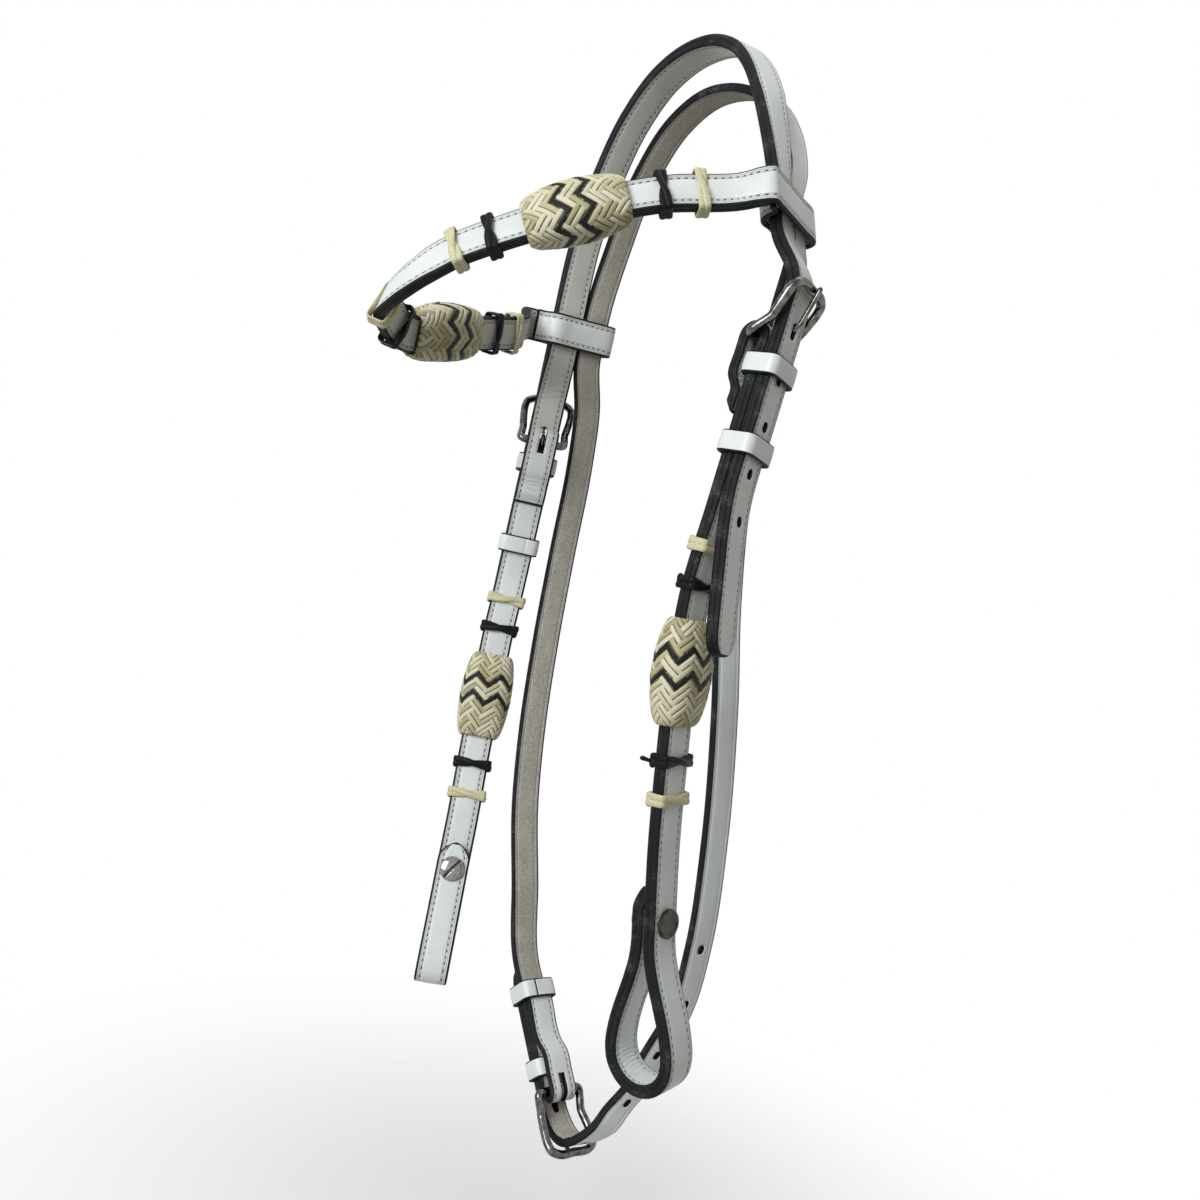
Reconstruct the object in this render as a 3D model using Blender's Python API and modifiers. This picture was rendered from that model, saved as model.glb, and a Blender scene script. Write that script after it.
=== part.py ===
"""A western headstall hanging by its crown: leather straps, buckles, keepers and braided rawhide.

The origin is the underside of the crown, where the headstall hangs. +Z is up, the browband
stands out towards -Y, and the near cheek (the one on the right of the picture) is at +X.
"""

import math
from dataclasses import dataclass

import bmesh
import bpy
import numpy as np
from mathutils import Matrix, Vector

MM = 0.001

# Overall size, and the same box in the units of the sketch that the routes are drawn in
HANG_WIDTH = 207 * MM
HANG_DEPTH = 200 * MM
HANG_HEIGHT = 530 * MM
SKETCH_BOX = (207, 200, 530)

# Straps
STRAP_WIDTH = 16 * MM
STRAP_THICK = 5.5 * MM
THROAT_WIDTH = 14 * MM
THROAT_THICK = 4 * MM
BROW_WIDTH = 16 * MM
BROW_THICK = 5 * MM
LOOP_THICK = 2.6 * MM
CHEEK_FOLD_THICK = 4.6 * MM
THROAT_FOLD_THICK = 3 * MM
SKIVED_TIP = 1.2 * MM
SKIVE_LENGTH = 5 * MM
FOLD_LEAVE = 3 * MM
FOLD_STEP = 4 * MM
BROW_LEAVE = (3 * MM, 9 * MM)
BROW_LINED_FROM = 8 * MM
BROW_STEP = 2 * MM
STATION_STEP = 16 * MM
STATION_TURN = math.radians(7)
POINT_LENGTH = 11 * MM
POINT_WIDTH = 5 * MM
POINT_STEP = 4 * MM

# Clearances
LAYER_GAP = 0.5 * MM
SEAT_GAP = 0.35 * MM
LOOP_PLAY = 1.2 * MM
TONGUE_PLAY = 0.6 * MM
FRAME_CLEAR = 1.4 * MM

# Buckles: a bent wire frame on a straight bar, with a wire tongue
WIRE_RADIUS = 2 * MM
TONGUE_RADIUS = 1.1 * MM
FRAME_WIDTH = 23 * MM
FRAME_RISE = 11 * MM
FRAME_REACH = 18 * MM
FRAME_RISE_TILT = math.radians(48)
FRAME_REACH_TILT = math.radians(25)
THROAT_FRAME_TURN = math.radians(36)
TONGUE_SWING = math.radians(9)
TONGUE_RISE_IN = 1.2 * MM
TONGUE_RISE_OUT = 3.4 * MM
TONGUE_LIFT = 2 * MM
TONGUE_TIP = 1.5 * MM
SLOT_LENGTH = 6.4 * MM

# Keepers: bands of leather round the layers
KEEPER_THICK = 1.8 * MM
KEEPER_BAND = 9 * MM
KEEPER_FROM_BAR = 7.2 * MM
KEEPER_CORNER = 2.2 * MM
KEEPER_INSIDE_CORNER = 0.7 * MM
RIGHT_KEEPER_AT = 45 * MM
LEFT_KEEPER_AT = 55 * MM
THROAT_KEEPER_AT = 48 * MM

# Turn-backs behind the buckle bars
CHEEK_TURN_BACK = 33 * MM
THROAT_TURN_BACK = 50 * MM

# Straight stretches that lie flat together under the buckles
STRAIGHT = 66 * MM
THREADED = 14 * MM
THROAT_THREADED = 9 * MM

# Holes
HOLE_RADIUS = 1.8 * MM
CROWN_HOLE_PITCH = 20 * MM
CROWN_SPARE_HOLES = 4
THROAT_HOLE_PITCH = 27 * MM
THROAT_SPARE_HOLES = 5
HOLE_SIDES = 8

# Bit loops at the foot of the cheeks, closed by a post screw
LEFT_LOOP_DROP = 52 * MM
LEFT_LOOP_RADIUS = 4.8 * MM
RIGHT_LOOP_DROP = 68 * MM
RIGHT_LOOP_RADIUS = 14 * MM
LOOP_TIP_ABOVE = 13 * MM
LOOP_TIP_LENGTH = 8 * MM
LEFT_SCREW_AT = 0.423 * HANG_HEIGHT
RIGHT_SCREW_AT = 0.453 * HANG_HEIGHT
SCREW_HEAD_RADIUS = 6 * MM
SCREW_HEAD_HEIGHT = 2.2 * MM
POST_RADIUS = 2.4 * MM
SHANK_RADIUS = 1.3 * MM
SHANK_LENGTH = 8 * MM
DRIVER_SLOT_WIDTH = 1.4 * MM
DRIVER_SLOT_DEPTH = 0.9 * MM

# Braided rawhide buttons, each between two pairs of lace wraps
BUTTON_LENGTH = 43 * MM
BUTTON_END_WIDTH = 20 * MM
BUTTON_END_THICK = 12 * MM
BUTTON_WIDTH = 26 * MM
BUTTON_THICK = 20 * MM
BLACK_SPACING = 71 * MM
RAWHIDE_SPACING = 102 * MM
LACE_RADIUS = 0.95 * MM
LACE_PITCH = 2.4 * MM
LACE_GAP = 0.45 * MM
LACE_TURNS = 2
POINTS_PER_CORNER = 3
LEFT_BUTTON_AT = 0.255 * HANG_HEIGHT
RIGHT_BUTTON_AT = 0.262 * HANG_HEIGHT
BROW_BUTTON_AT = 0.435 * HANG_DEPTH

# Colours, roughness and metallic values
FINISHES = {
    "white_leather": ((0.78, 0.8, 0.78), 0.45, 0),
    "rawhide": ((0.72, 0.67, 0.45), 0.6, 0),
    "black_lace": ((0.012, 0.012, 0.013), 0.5, 0),
    "polished_steel": ((0.5, 0.5, 0.52), 0.22, 1),
    "dark_bronze": ((0.1, 0.09, 0.075), 0.4, 1),
}


def unit(vector):
    return np.asarray(vector, float) / np.linalg.norm(vector)


def square_to(vector, axis):
    """The part of vector that is square to the unit vector axis, at length one."""
    return unit(vector - np.dot(vector, axis) * axis)


def placed(points):
    """Points of the sketch in their places at the overall size."""
    scale = np.array((HANG_WIDTH, HANG_DEPTH, HANG_HEIGHT)) / SKETCH_BOX
    return [np.array(point) * scale for point in points]


@dataclass(frozen=True)
class Section:
    """One cross-section of a strap."""

    centre: np.ndarray
    across: np.ndarray
    out: np.ndarray
    width: float
    thick: float


class Route:
    """A smooth line through chosen points, with the strap's width direction along it."""

    def __init__(self, stops, side=1):
        self.points = np.array([stop[0] for stop in stops])
        self.widths = np.array([unit(stop[1]) for stop in stops])
        self.side = side
        steps = np.linalg.norm(np.diff(self.points, axis=0), axis=1)
        self.knots = np.concatenate([[0], np.cumsum(steps)])
        self.slopes = np.gradient(self.points, self.knots, axis=0)
        self.length = self.knots[-1]

    def point(self, at):
        i = int(np.clip(np.searchsorted(self.knots, at) - 1, 0, len(self.knots) - 2))
        span = self.knots[i + 1] - self.knots[i]
        t = (at - self.knots[i]) / span
        start = self.points[i] * (2 * t**3 - 3 * t**2 + 1)
        start = start + self.slopes[i] * span * (t**3 - 2 * t**2 + t)
        end = self.points[i + 1] * (3 * t**2 - 2 * t**3)
        return start + end + self.slopes[i + 1] * span * (t**3 - t**2)

    def axes(self, at):
        """Along, across and outward directions at a distance along the route."""
        reach = 0.5 * MM
        along = unit(self.point(at + reach) - self.point(at - reach))
        hint = [np.interp(at, self.knots, self.widths[:, i]) for i in range(3)]
        across = square_to(np.array(hint), along)
        return along, across, self.side * np.cross(along, across)

    def section(self, at, width, thick, offset=0.0):
        _, across, out = self.axes(at)
        return Section(self.point(at) + offset * out, across, out, width, thick)

    def stations(self, start, end):
        """Distances from start to end, closer together where the strap bends or twists."""
        places = [start]
        along, across, _ = self.axes(start)
        for at in np.arange(start + MM, end - 2 * MM, MM):
            new_along, new_across, _ = self.axes(at)
            turn = math.acos(min(1.0, np.dot(along, new_along)))
            turn += math.acos(min(1.0, np.dot(across, new_across)))
            if turn > STATION_TURN or at - places[-1] > STATION_STEP:
                places.append(at)
                along, across = new_along, new_across
        return [*places, end]

    def sections(self, start, end, width, thick, offset=0.0):
        return [self.section(at, width, thick, offset) for at in self.stations(start, end)]

    def nearest(self, point):
        """The distance along the route that comes nearest to a point."""
        places = np.arange(0, self.length, MM / 4)
        away = [np.linalg.norm(self.point(at) - point) for at in places]
        return places[int(np.argmin(away))]

    def matrix(self, at, offset=0.0):
        """The frame at a distance along the route: x across, y out, z along."""
        along, across, out = self.axes(at)
        return frame_matrix(self.point(at) + offset * out, across, out, along)


def frame_matrix(origin, x_axis, y_axis, z_axis):
    columns = np.column_stack([x_axis, y_axis, z_axis, origin])
    if np.linalg.det(columns[:, :3]) < 0:
        columns[:, 0] *= -1
    return Matrix([*columns.tolist(), [0, 0, 0, 1]])


@dataclass(frozen=True)
class Seat:
    """Where a strap folds round a buckle's bar: the bar's centre and the strap's directions."""

    bar: np.ndarray
    along: np.ndarray
    across: np.ndarray
    out: np.ndarray
    width: float
    thick: float
    fold_thick: float
    turn_back: float
    frame_turn: float

    @property
    def fold_radius(self):
        return WIRE_RADIUS + SEAT_GAP + self.fold_thick / 2

    @property
    def outer_face(self):
        return self.fold_radius + self.fold_thick / 2

    @property
    def inner_face(self):
        return self.outer_face - self.thick

    @property
    def main_middle(self):
        return self.outer_face - self.thick / 2

    @property
    def billet_middle(self):
        return self.outer_face + LAYER_GAP + self.thick / 2

    @property
    def billet_outer_face(self):
        return self.outer_face + LAYER_GAP + self.thick

    def point(self, along, out=0.0, across=0.0):
        return self.bar + along * self.along + out * self.out + across * self.across

    def layer(self, along, face, thick, inwards=False):
        """A section whose face nearer the strap is at the height face above the bar."""
        middle = face - thick / 2 if inwards else face + thick / 2
        out = -self.out if inwards else self.out
        return Section(self.point(along, middle), self.across, out, self.width, thick)

    def fold(self):
        """Sections from the tip of the turn-back, round the bar, to the full strap."""
        fold = self.fold_thick
        close = self.inner_face - LAYER_GAP
        apart = min(self.inner_face - KEEPER_THICK - 2 * SEAT_GAP, -WIRE_RADIUS - SEAT_GAP)
        keeper_end = KEEPER_FROM_BAR + KEEPER_BAND
        sections = [
            self.layer(self.turn_back, close, SKIVED_TIP, True),
            self.layer(self.turn_back - SKIVE_LENGTH, close, fold, True),
            self.layer(keeper_end + 7 * MM, close, fold, True),
            self.layer(keeper_end + LAYER_GAP, apart, fold, True),
            self.layer(KEEPER_FROM_BAR - LAYER_GAP, apart, fold, True),
            self.layer(FOLD_LEAVE, -WIRE_RADIUS - SEAT_GAP, fold, True),
        ]
        for angle in np.radians(np.linspace(-90, 90, 9)):
            radial = math.sin(angle) * self.out - math.cos(angle) * self.along
            centre = self.bar + self.fold_radius * radial
            sections.append(Section(centre, self.across, radial, self.width, fold))
        sections.append(self.layer(FOLD_LEAVE, self.outer_face - fold, fold))
        sections.append(self.layer(KEEPER_FROM_BAR, self.inner_face, self.thick))
        return sections


def seat(bar, along, across, side, sizes):
    along = unit(along)
    across = square_to(np.array(across), along)
    out = side * np.cross(along, across)
    return Seat(placed([bar])[0], along, across, out, *sizes)


CHEEK_SIZES = (STRAP_WIDTH, STRAP_THICK, CHEEK_FOLD_THICK, CHEEK_TURN_BACK, 0.0)
THROAT_LAYERS = (THROAT_WIDTH, THROAT_THICK, THROAT_FOLD_THICK)
THROAT_SIZES = (*THROAT_LAYERS, THROAT_TURN_BACK, THROAT_FRAME_TURN)
LEFT = seat((-90, -8, -184), (-0.04, -0.03, -1), (0.45, 0.89, 0), -1, CHEEK_SIZES)
RIGHT = seat((74.3, -6, -145), (0.0, -0.15, -1), (-0.34, 0.93, 0), 1, CHEEK_SIZES)
THROAT = seat((-10, 18, -494), (-0.62, -0.06, 0.78), (-0.05, 1.0, 0.06), 1, THROAT_SIZES)


@dataclass(frozen=True)
class BandLoop:
    """The browband's end loop: its centre, and the frame of the two straps that it holds."""

    centre: np.ndarray
    back: np.ndarray
    out: np.ndarray
    down: np.ndarray

    @property
    def crown_offset(self):
        return -(THROAT_WIDTH + LAYER_GAP) / 2

    @property
    def throat_offset(self):
        return (STRAP_WIDTH + LAYER_GAP) / 2

    @property
    def half_length(self):
        straps = STRAP_WIDTH + LAYER_GAP + THROAT_WIDTH
        return straps / 2 + LOOP_PLAY + LOOP_THICK / 2

    @property
    def half_depth(self):
        return max(STRAP_THICK, THROAT_THICK) / 2 + LOOP_PLAY + LOOP_THICK / 2

    def place(self, back, out=0.0, down=0.0):
        return self.centre + back * self.back + out * self.out + down * self.down


def band_loop(centre, down, back, side):
    down = unit(down)
    back = square_to(np.array(back), down)
    out = side * np.cross(down, back)
    return BandLoop(placed([centre])[0], back, out, down)


LEFT_LOOP = band_loop((-83.5, -1.5, -126), (-0.12, 0.03, -1), (0.12, 0.99, 0), -1)
RIGHT_LOOP = band_loop((65, 3, -87.5), (0.27, 0.08, -1), (-0.45, 0.89, 0), 1)


def crown_route():
    """From the far billet's tip, up over the poll and down to the near billet's tip."""
    stops = [(point, LEFT.across) for point in placed([(-105.5, -6.5, -294), (-104.6, -4.9, -271)])]
    for at in (STRAIGHT, STRAIGHT / 2, 0, -THREADED, -24 * MM):
        stops.append((LEFT.point(at, LEFT.billet_middle), LEFT.across))
    for down in (12 * MM, 0, -12 * MM):
        stops.append((LEFT_LOOP.place(LEFT_LOOP.crown_offset, 0, down), LEFT_LOOP.back))
    chosen = [(-77, -10, -79), (-67, -9, -47), (-53, -8, -23), (-33, -6, -5), (-16, -3, 2)]
    chosen += [(0, 0, 2.75), (15, 1, -3), (29, 0, -14), (41, -1, -29)]
    stops += [(point, (0.02, 1, 0)) for point in placed(chosen)]
    stops.append((placed([(51, -2, -47)])[0], (-0.2, 0.98, 0)))
    for down in (-12 * MM, 0, 12 * MM):
        stops.append((RIGHT_LOOP.place(RIGHT_LOOP.crown_offset, 0, down), RIGHT_LOOP.back))
    for at in (-24 * MM, -THREADED, 0, STRAIGHT / 2, STRAIGHT):
        stops.append((RIGHT.point(at, RIGHT.billet_middle), RIGHT.across))
    chosen = [(86.5, -12.5, -245), (90, -12.5, -274)]
    stops += [(point, RIGHT.across) for point in placed(chosen)]
    return Route(stops)


def left_cheek_route():
    """From the bar of the far buckle down to the bit loop's screw."""
    stops = [(LEFT.point(at), LEFT.across) for at in np.linspace(0, STRAIGHT + 6 * MM, 4)]
    chosen = [(-90, -14, -287), (-86, -17, -318), (-80, -21, -350), (-73, -25, -380)]
    chosen += [(-67, -29, -406), (-60, -33, -432)]
    stops += [(point, (0.48, 0.87, 0)) for point in placed(chosen)]
    return Route(stops, -1)


def right_cheek_route():
    """From the bar of the near buckle down to the bit loop's screw."""
    stops = [(RIGHT.point(at), RIGHT.across) for at in np.linspace(0, STRAIGHT + 6 * MM, 4)]
    chosen = [(73, -20.5, -250), (73, -20.5, -284), (74, -18.5, -320), (75, -15.5, -355)]
    chosen += [(76, -11.5, -385), (77, -7.5, -415)]
    stops += [(point, (-0.3, 0.95, 0)) for point in placed(chosen)]
    return Route(stops)


def throat_route():
    """From the throatlatch buckle's bar, up, over the poll, down and back through the buckle."""
    middle = THROAT.main_middle
    stops = [(THROAT.point(at, middle), THROAT.across) for at in np.linspace(0, STRAIGHT, 4)]
    chosen = [(-61, 10.8, -409), (-69, 7.8, -372), (-75, 7.8, -338), (-83, 11, -285), (-87, 14, -240)]
    chosen += [(-89.5, 16.8, -190), (-88, 14.6, -163)]
    stops += [(point, (0.15, 0.99, 0)) for point in placed(chosen)]
    for down in (12 * MM, 0, -12 * MM):
        stops.append((LEFT_LOOP.place(LEFT_LOOP.throat_offset, 0, down), LEFT_LOOP.back))
    chosen = [(-73, 7, -80), (-58, 7, -45), (-38, 8, -23), (-16, 10, -14), (4, 13, -15)]
    chosen += [(24, 16, -24), (38, 17, -40)]
    stops += [(point, (0.02, 1, 0)) for point in placed(chosen)]
    stops.append((placed([(49, 15.5, -58)])[0], (-0.25, 0.97, 0)))
    for down in (-12 * MM, 0, 12 * MM):
        stops.append((RIGHT_LOOP.place(RIGHT_LOOP.throat_offset, 0, down), RIGHT_LOOP.back))
    chosen = [(54, 19, -126), (45, 23.5, -160), (37.5, 25, -205), (33.5, 32.7, -249)]
    chosen += [(34.5, 41.4, -300), (35.5, 48.4, -364), (34.5, 50.4, -410), (31, 49.2, -440)]
    chosen += [(24.5, 42, -467), (21, 39.7, -480), (17.3, 34, -492), (15.7, 27.9, -501.5)]
    stops += [(point, (0, 1, 0)) for point in placed(chosen)]
    front_out, front_up = frame_side(THROAT, FRAME_RISE + FRAME_REACH)
    inside = front_up - WIRE_RADIUS - FRAME_CLEAR - THROAT_THICK / 2
    stops.append((THROAT.point(-inside, front_out), THROAT.across))
    for at in (-THROAT_THREADED, 0, STRAIGHT / 2, THROAT_KEEPER_AT + 14 * MM):
        stops.append((THROAT.point(at, THROAT.billet_middle), THROAT.across))
    return Route(stops)


def brow_route():
    """The browband between its two end loops, from the near one round the front to the far one."""
    near = RIGHT_LOOP
    far = LEFT_LOOP
    stops = [(near.place(-near.half_length - at, near.half_depth), -near.down) for at in BROW_LEAVE]
    chosen = [(70, -28, -88), (56, -54, -95), (38, -82, -108), (20, -106, -122), (9, -118, -130.5)]
    chosen += [(-1, -128, -141), (-10.4, -132, -147.5), (-21.4, -132, -152), (-30.4, -124.5, -156.5)]
    chosen += [(-39, -115, -159), (-50, -93, -152), (-63, -66, -144), (-77, -40, -135)]
    widths = [(-0.3, 0.15, 0.94), (-0.33, 0.18, 0.93), (-0.33, 0.18, 0.93), (-0.3, 0.25, 0.92)]
    widths += [(-0.25, 0.28, 0.93), (-0.2, 0.3, 0.93), (-0.1, 0.3, 0.95), (0.05, 0.27, 0.96)]
    widths += [(0.12, 0.22, 0.97), (0.16, 0.16, 0.97), (0.16, 0.12, 0.98), (0.16, 0.1, 0.98)]
    widths += [(0.12, 0.08, 0.98)]
    stops += zip(placed(chosen), widths)
    arrive = BROW_LEAVE[::-1]
    stops += [(far.place(-far.half_length - at, far.half_depth), -far.down) for at in arrive]
    return Route(stops, -1)


def collection(name):
    made = bpy.data.collections.new(name)
    bpy.context.scene.collection.children.link(made)
    return made


def material(name):
    made = bpy.data.materials.get(name)
    if made is None:
        colour, roughness, metallic = FINISHES[name]
        made = bpy.data.materials.new(name)
        made.use_nodes = True
        shader = made.node_tree.nodes["Principled BSDF"]
        shader.inputs["Base Color"].default_value = (*colour, 1)
        shader.inputs["Roughness"].default_value = roughness
        shader.inputs["Metallic"].default_value = metallic
    return made


def add(name, data, finish, group):
    """An object of the given data in a collection, with a material of its own."""
    obj = bpy.data.objects.new(name, data)
    data.materials.clear()
    own = material(finish).copy()
    own.name = name + "_" + finish
    data.materials.append(own)
    group.objects.link(obj)
    return obj


def mesh_of(shape, name):
    """A mesh made of the shape built in a bmesh, its faces turned outwards."""
    bmesh.ops.recalc_face_normals(shape, faces=shape.faces)
    mesh = bpy.data.meshes.new(name)
    shape.to_mesh(mesh)
    shape.free()
    mesh.shade_smooth()
    mesh.set_sharp_from_angle(angle=math.radians(35))
    return mesh


def ring_loft(name, rings):
    """A closed solid through rings of equal point counts, flat at both ends."""
    shape = bmesh.new()
    rows = [[shape.verts.new(point) for point in ring] for ring in rings]
    count = len(rows[0])
    for lower, upper in zip(rows, rows[1:]):
        for i in range(count):
            j = (i + 1) % count
            shape.faces.new((lower[i], lower[j], upper[j], upper[i]))
    shape.faces.new(rows[0][::-1])
    shape.faces.new(rows[-1])
    return mesh_of(shape, name)


def strap_rings(sections):
    rings = []
    for section in sections:
        half_width = section.across * section.width / 2
        half_thick = section.out * section.thick / 2
        corners = ((-1, -1), (1, -1), (1, 1), (-1, 1))
        rings.append([section.centre + a * half_width + b * half_thick for a, b in corners])
    return rings


def strap(name, sections, finish, group):
    return add(name, ring_loft(name, strap_rings(sections)), finish, group)


def pointed(route, start, end, width, thick, offset=0.0):
    """Sections that narrow from full width at start to a blunt point at end."""
    sections = []
    for share in (0.0, 0.45, 0.75, 0.93, 1.0):
        at = start + (end - start) * share
        narrow = width - (width - POINT_WIDTH) * (1 - math.sqrt(1 - share**2 * 0.98))
        sections.append(route.section(at, narrow, thick, offset))
    return sections


def cut(obj, group):
    """Cuts obj with each of the cutters in the group, in one Boolean each."""
    for cutter in group:
        cutter.hide_render = True
        cutter.display_type = "WIRE"
        modifier = obj.modifiers.new(cutter.name, "BOOLEAN")
        modifier.operation = "DIFFERENCE"
        modifier.object = cutter


def oval_cutter(name, matrix, radius, stretch, depth, group):
    """An upright oval plug: x across, y through the strap, z along it."""
    shape = bmesh.new()
    turn = Matrix.Rotation(math.radians(90), 4, "X") @ Matrix.Rotation(math.pi / HOLE_SIDES, 4, "Z")
    bmesh.ops.create_cone(
        shape,
        cap_ends=True,
        segments=HOLE_SIDES,
        radius1=radius,
        radius2=radius,
        depth=depth,
        matrix=turn,
    )
    for vertex in shape.verts:
        vertex.co.z += stretch / 2 if vertex.co.z > 0 else -stretch / 2
    obj = add(name, mesh_of(shape, name), "black_lace", group)
    obj.matrix_world = matrix
    return obj


def box_cutter(name, matrix, low, high, group):
    shape = bmesh.new()
    bmesh.ops.create_cube(shape, size=1)
    for vertex in shape.verts:
        for i in range(3):
            vertex.co[i] = high[i] if vertex.co[i] > 0 else low[i]
    obj = add(name, mesh_of(shape, name), "black_lace", group)
    obj.matrix_world = matrix
    return obj


def seat_matrix(place):
    """The frame of a seat: x across, y out, z along the strap."""
    return frame_matrix(place.bar, place.across, place.out, place.along)


def curve_object(name, points, radius, resolution, cyclic, finish, group):
    data = bpy.data.curves.new(name, "CURVE")
    data.dimensions = "3D"
    data.bevel_depth = radius
    data.bevel_resolution = resolution
    data.use_fill_caps = not cyclic
    spline = data.splines.new("POLY")
    spline.points.add(len(points) - 1)
    for target, point in zip(spline.points, points):
        target.co = (*point, 1)
    spline.use_cyclic_u = cyclic
    return add(name, data, finish, group)


def frame_side(place, length):
    """The side of a buckle's frame at a length from the bar, as (out, up) in the seat's frame."""
    rise = min(length, FRAME_RISE)
    reach = max(length - FRAME_RISE, 0)
    steep = FRAME_RISE_TILT - place.frame_turn
    shallow = FRAME_REACH_TILT - place.frame_turn
    out = rise * math.sin(steep) + reach * math.sin(shallow)
    return out, rise * math.cos(steep) + reach * math.cos(shallow)


def buckle_frame(name, place, group):
    """A wire frame: the bar, two sides that step outwards, and a rounded front."""
    half = FRAME_WIDTH / 2
    right = [(0.86, 0.0), (0.98, 0.035), (1.0, 0.12), (0.98, 0.28), (0.98, 0.36), (1.01, 0.45)]
    right += [(1.07, 0.65), (1.08, 0.8), (1.0, 0.92), (0.76, 0.985)]
    outline = right + [(0.0, 1.0)] + [(-x, y) for x, y in reversed(right)]
    points = []
    for across, share in outline:
        out, up = frame_side(place, share * (FRAME_RISE + FRAME_REACH))
        points.append((across * half, out, -up))
    obj = curve_object(name, points, WIRE_RADIUS, 2, True, "polished_steel", group)
    obj.matrix_world = seat_matrix(place)
    return obj


def tongue_points(place):
    """The tongue's middle line in the seat's frame, as (out, up) pairs."""
    ring = WIRE_RADIUS + SEAT_GAP + TONGUE_RADIUS
    points = []
    for angle in np.radians(np.linspace(-265, 0, 10)):
        points.append((ring * math.sin(angle), ring * math.cos(angle)))
    front_out, front_up = frame_side(place, FRAME_RISE + FRAME_REACH)
    rest = front_out + WIRE_RADIUS + SEAT_GAP + TONGUE_RADIUS
    low = place.outer_face + LAYER_GAP
    high = place.billet_outer_face
    points += [(low, ring + TONGUE_RISE_IN), (high, ring + TONGUE_RISE_OUT)]
    points += [(high + TONGUE_LIFT, ring + TONGUE_RISE_OUT + TONGUE_LIFT)]
    points += [(rest, front_up), (rest, front_up + TONGUE_TIP)]
    return points


def tongue(name, place, group):
    points = [(0.0, out, -up) for out, up in tongue_points(place)]
    obj = curve_object(name, points, TONGUE_RADIUS, 1, False, "polished_steel", group)
    obj.matrix_world = seat_matrix(place)
    return obj


def rounded_outline(half_x, low_y, high_y, corner):
    """The corners of a rectangle with rounded corners, as a list of (x, y)."""
    points = []
    centres = (
        (half_x - corner, high_y - corner, 0),
        (corner - half_x, high_y - corner, 90),
        (corner - half_x, low_y + corner, 180),
        (half_x - corner, low_y + corner, 270),
    )
    for x, y, start in centres:
        for angle in np.radians(np.linspace(start, start + 90, POINTS_PER_CORNER + 1)):
            points.append((x + corner * math.cos(angle), y + corner * math.sin(angle)))
    return points


def keeper(name, place, at, low, high, group):
    """A band round the layers between the heights low and high, centred at a distance from the bar."""
    data = bpy.data.curves.new(name, "CURVE")
    data.dimensions = "2D"
    data.fill_mode = "BOTH"
    data.extrude = KEEPER_BAND / 2
    half = place.width / 2 + LAYER_GAP
    around = (half + KEEPER_THICK, low - KEEPER_THICK, high + KEEPER_THICK)
    outer = rounded_outline(*around, KEEPER_CORNER)
    for outline in (outer, rounded_outline(half, low, high, KEEPER_INSIDE_CORNER)):
        spline = data.splines.new("POLY")
        spline.points.add(len(outline) - 1)
        for target, (x, y) in zip(spline.points, outline):
            target.co = (x, y, 0, 1)
        spline.use_cyclic_u = True
    obj = add(name, data, "white_leather", group)
    obj.matrix_world = frame_matrix(place.point(at), place.across, place.out, place.along)
    return obj


def bend_under(route, at, reach):
    """How far the route strays from its line at a place, within a reach each way."""
    frame = route.matrix(at).inverted()
    ends = [frame @ Vector(route.point(at + step)) for step in (-reach, reach)]
    return max(end.xy.length for end in ends)


def lace_wrap(name, route, at, width, thick, offset, finish, group):
    """A lace wound round a strap, as one unbroken tube. It returns the least gap to itself."""
    half_band = LACE_PITCH * LACE_TURNS / 2 + LACE_RADIUS
    reach = LACE_GAP + LACE_RADIUS + bend_under(route, at, half_band)
    outline = rounded_outline(width / 2 + reach, -thick / 2 - reach, thick / 2 + reach, reach)
    count = len(outline)
    frame = route.matrix(at, offset)
    total = count * LACE_TURNS
    points = []
    for i in range(total + 1):
        x, y = outline[i % count]
        z = LACE_PITCH * (i / count - LACE_TURNS / 2)
        points.append(frame @ Vector((x, y, z)))
    obj = curve_object(name, points, LACE_RADIUS, 1, False, finish, group)
    gaps = [(points[i + count] - points[i]).length for i in range(total + 1 - count)]
    return obj, min(gaps) - 2 * LACE_RADIUS


def button(name, route, at, width, thick, offset, parts, cutters):
    """A braided rawhide barrel round a strap, wider in the middle than at its ends."""
    rings = []
    for share in np.linspace(-1, 1, 9):
        section = route.section(at + share * BUTTON_LENGTH / 2, width, thick, offset)
        swell = math.cos(share * math.pi / 2) ** 0.7 if abs(share) < 1 else 0.0
        half_wide = (BUTTON_END_WIDTH + (BUTTON_WIDTH - BUTTON_END_WIDTH) * swell) / 2
        half_thick = (BUTTON_END_THICK + (BUTTON_THICK - BUTTON_END_THICK) * swell) / 2
        ring = []
        for angle in np.radians(np.arange(0, 360, 18)):
            x = math.copysign(abs(math.cos(angle)) ** 0.75, math.cos(angle)) * half_wide
            y = math.copysign(abs(math.sin(angle)) ** 0.75, math.sin(angle)) * half_thick
            ring.append(section.centre + x * section.across + y * section.out)
        rings.append(ring)
    barrel = add(name, ring_loft(name, rings), "rawhide", parts)
    reach = BUTTON_LENGTH / 2 + 4 * MM
    bore = route.sections(at - reach, at + reach, width + 2 * SEAT_GAP, thick + 2 * SEAT_GAP, offset)
    cut(barrel, [strap(name + "_bore", bore, "black_lace", cutters)])
    return barrel


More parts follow.
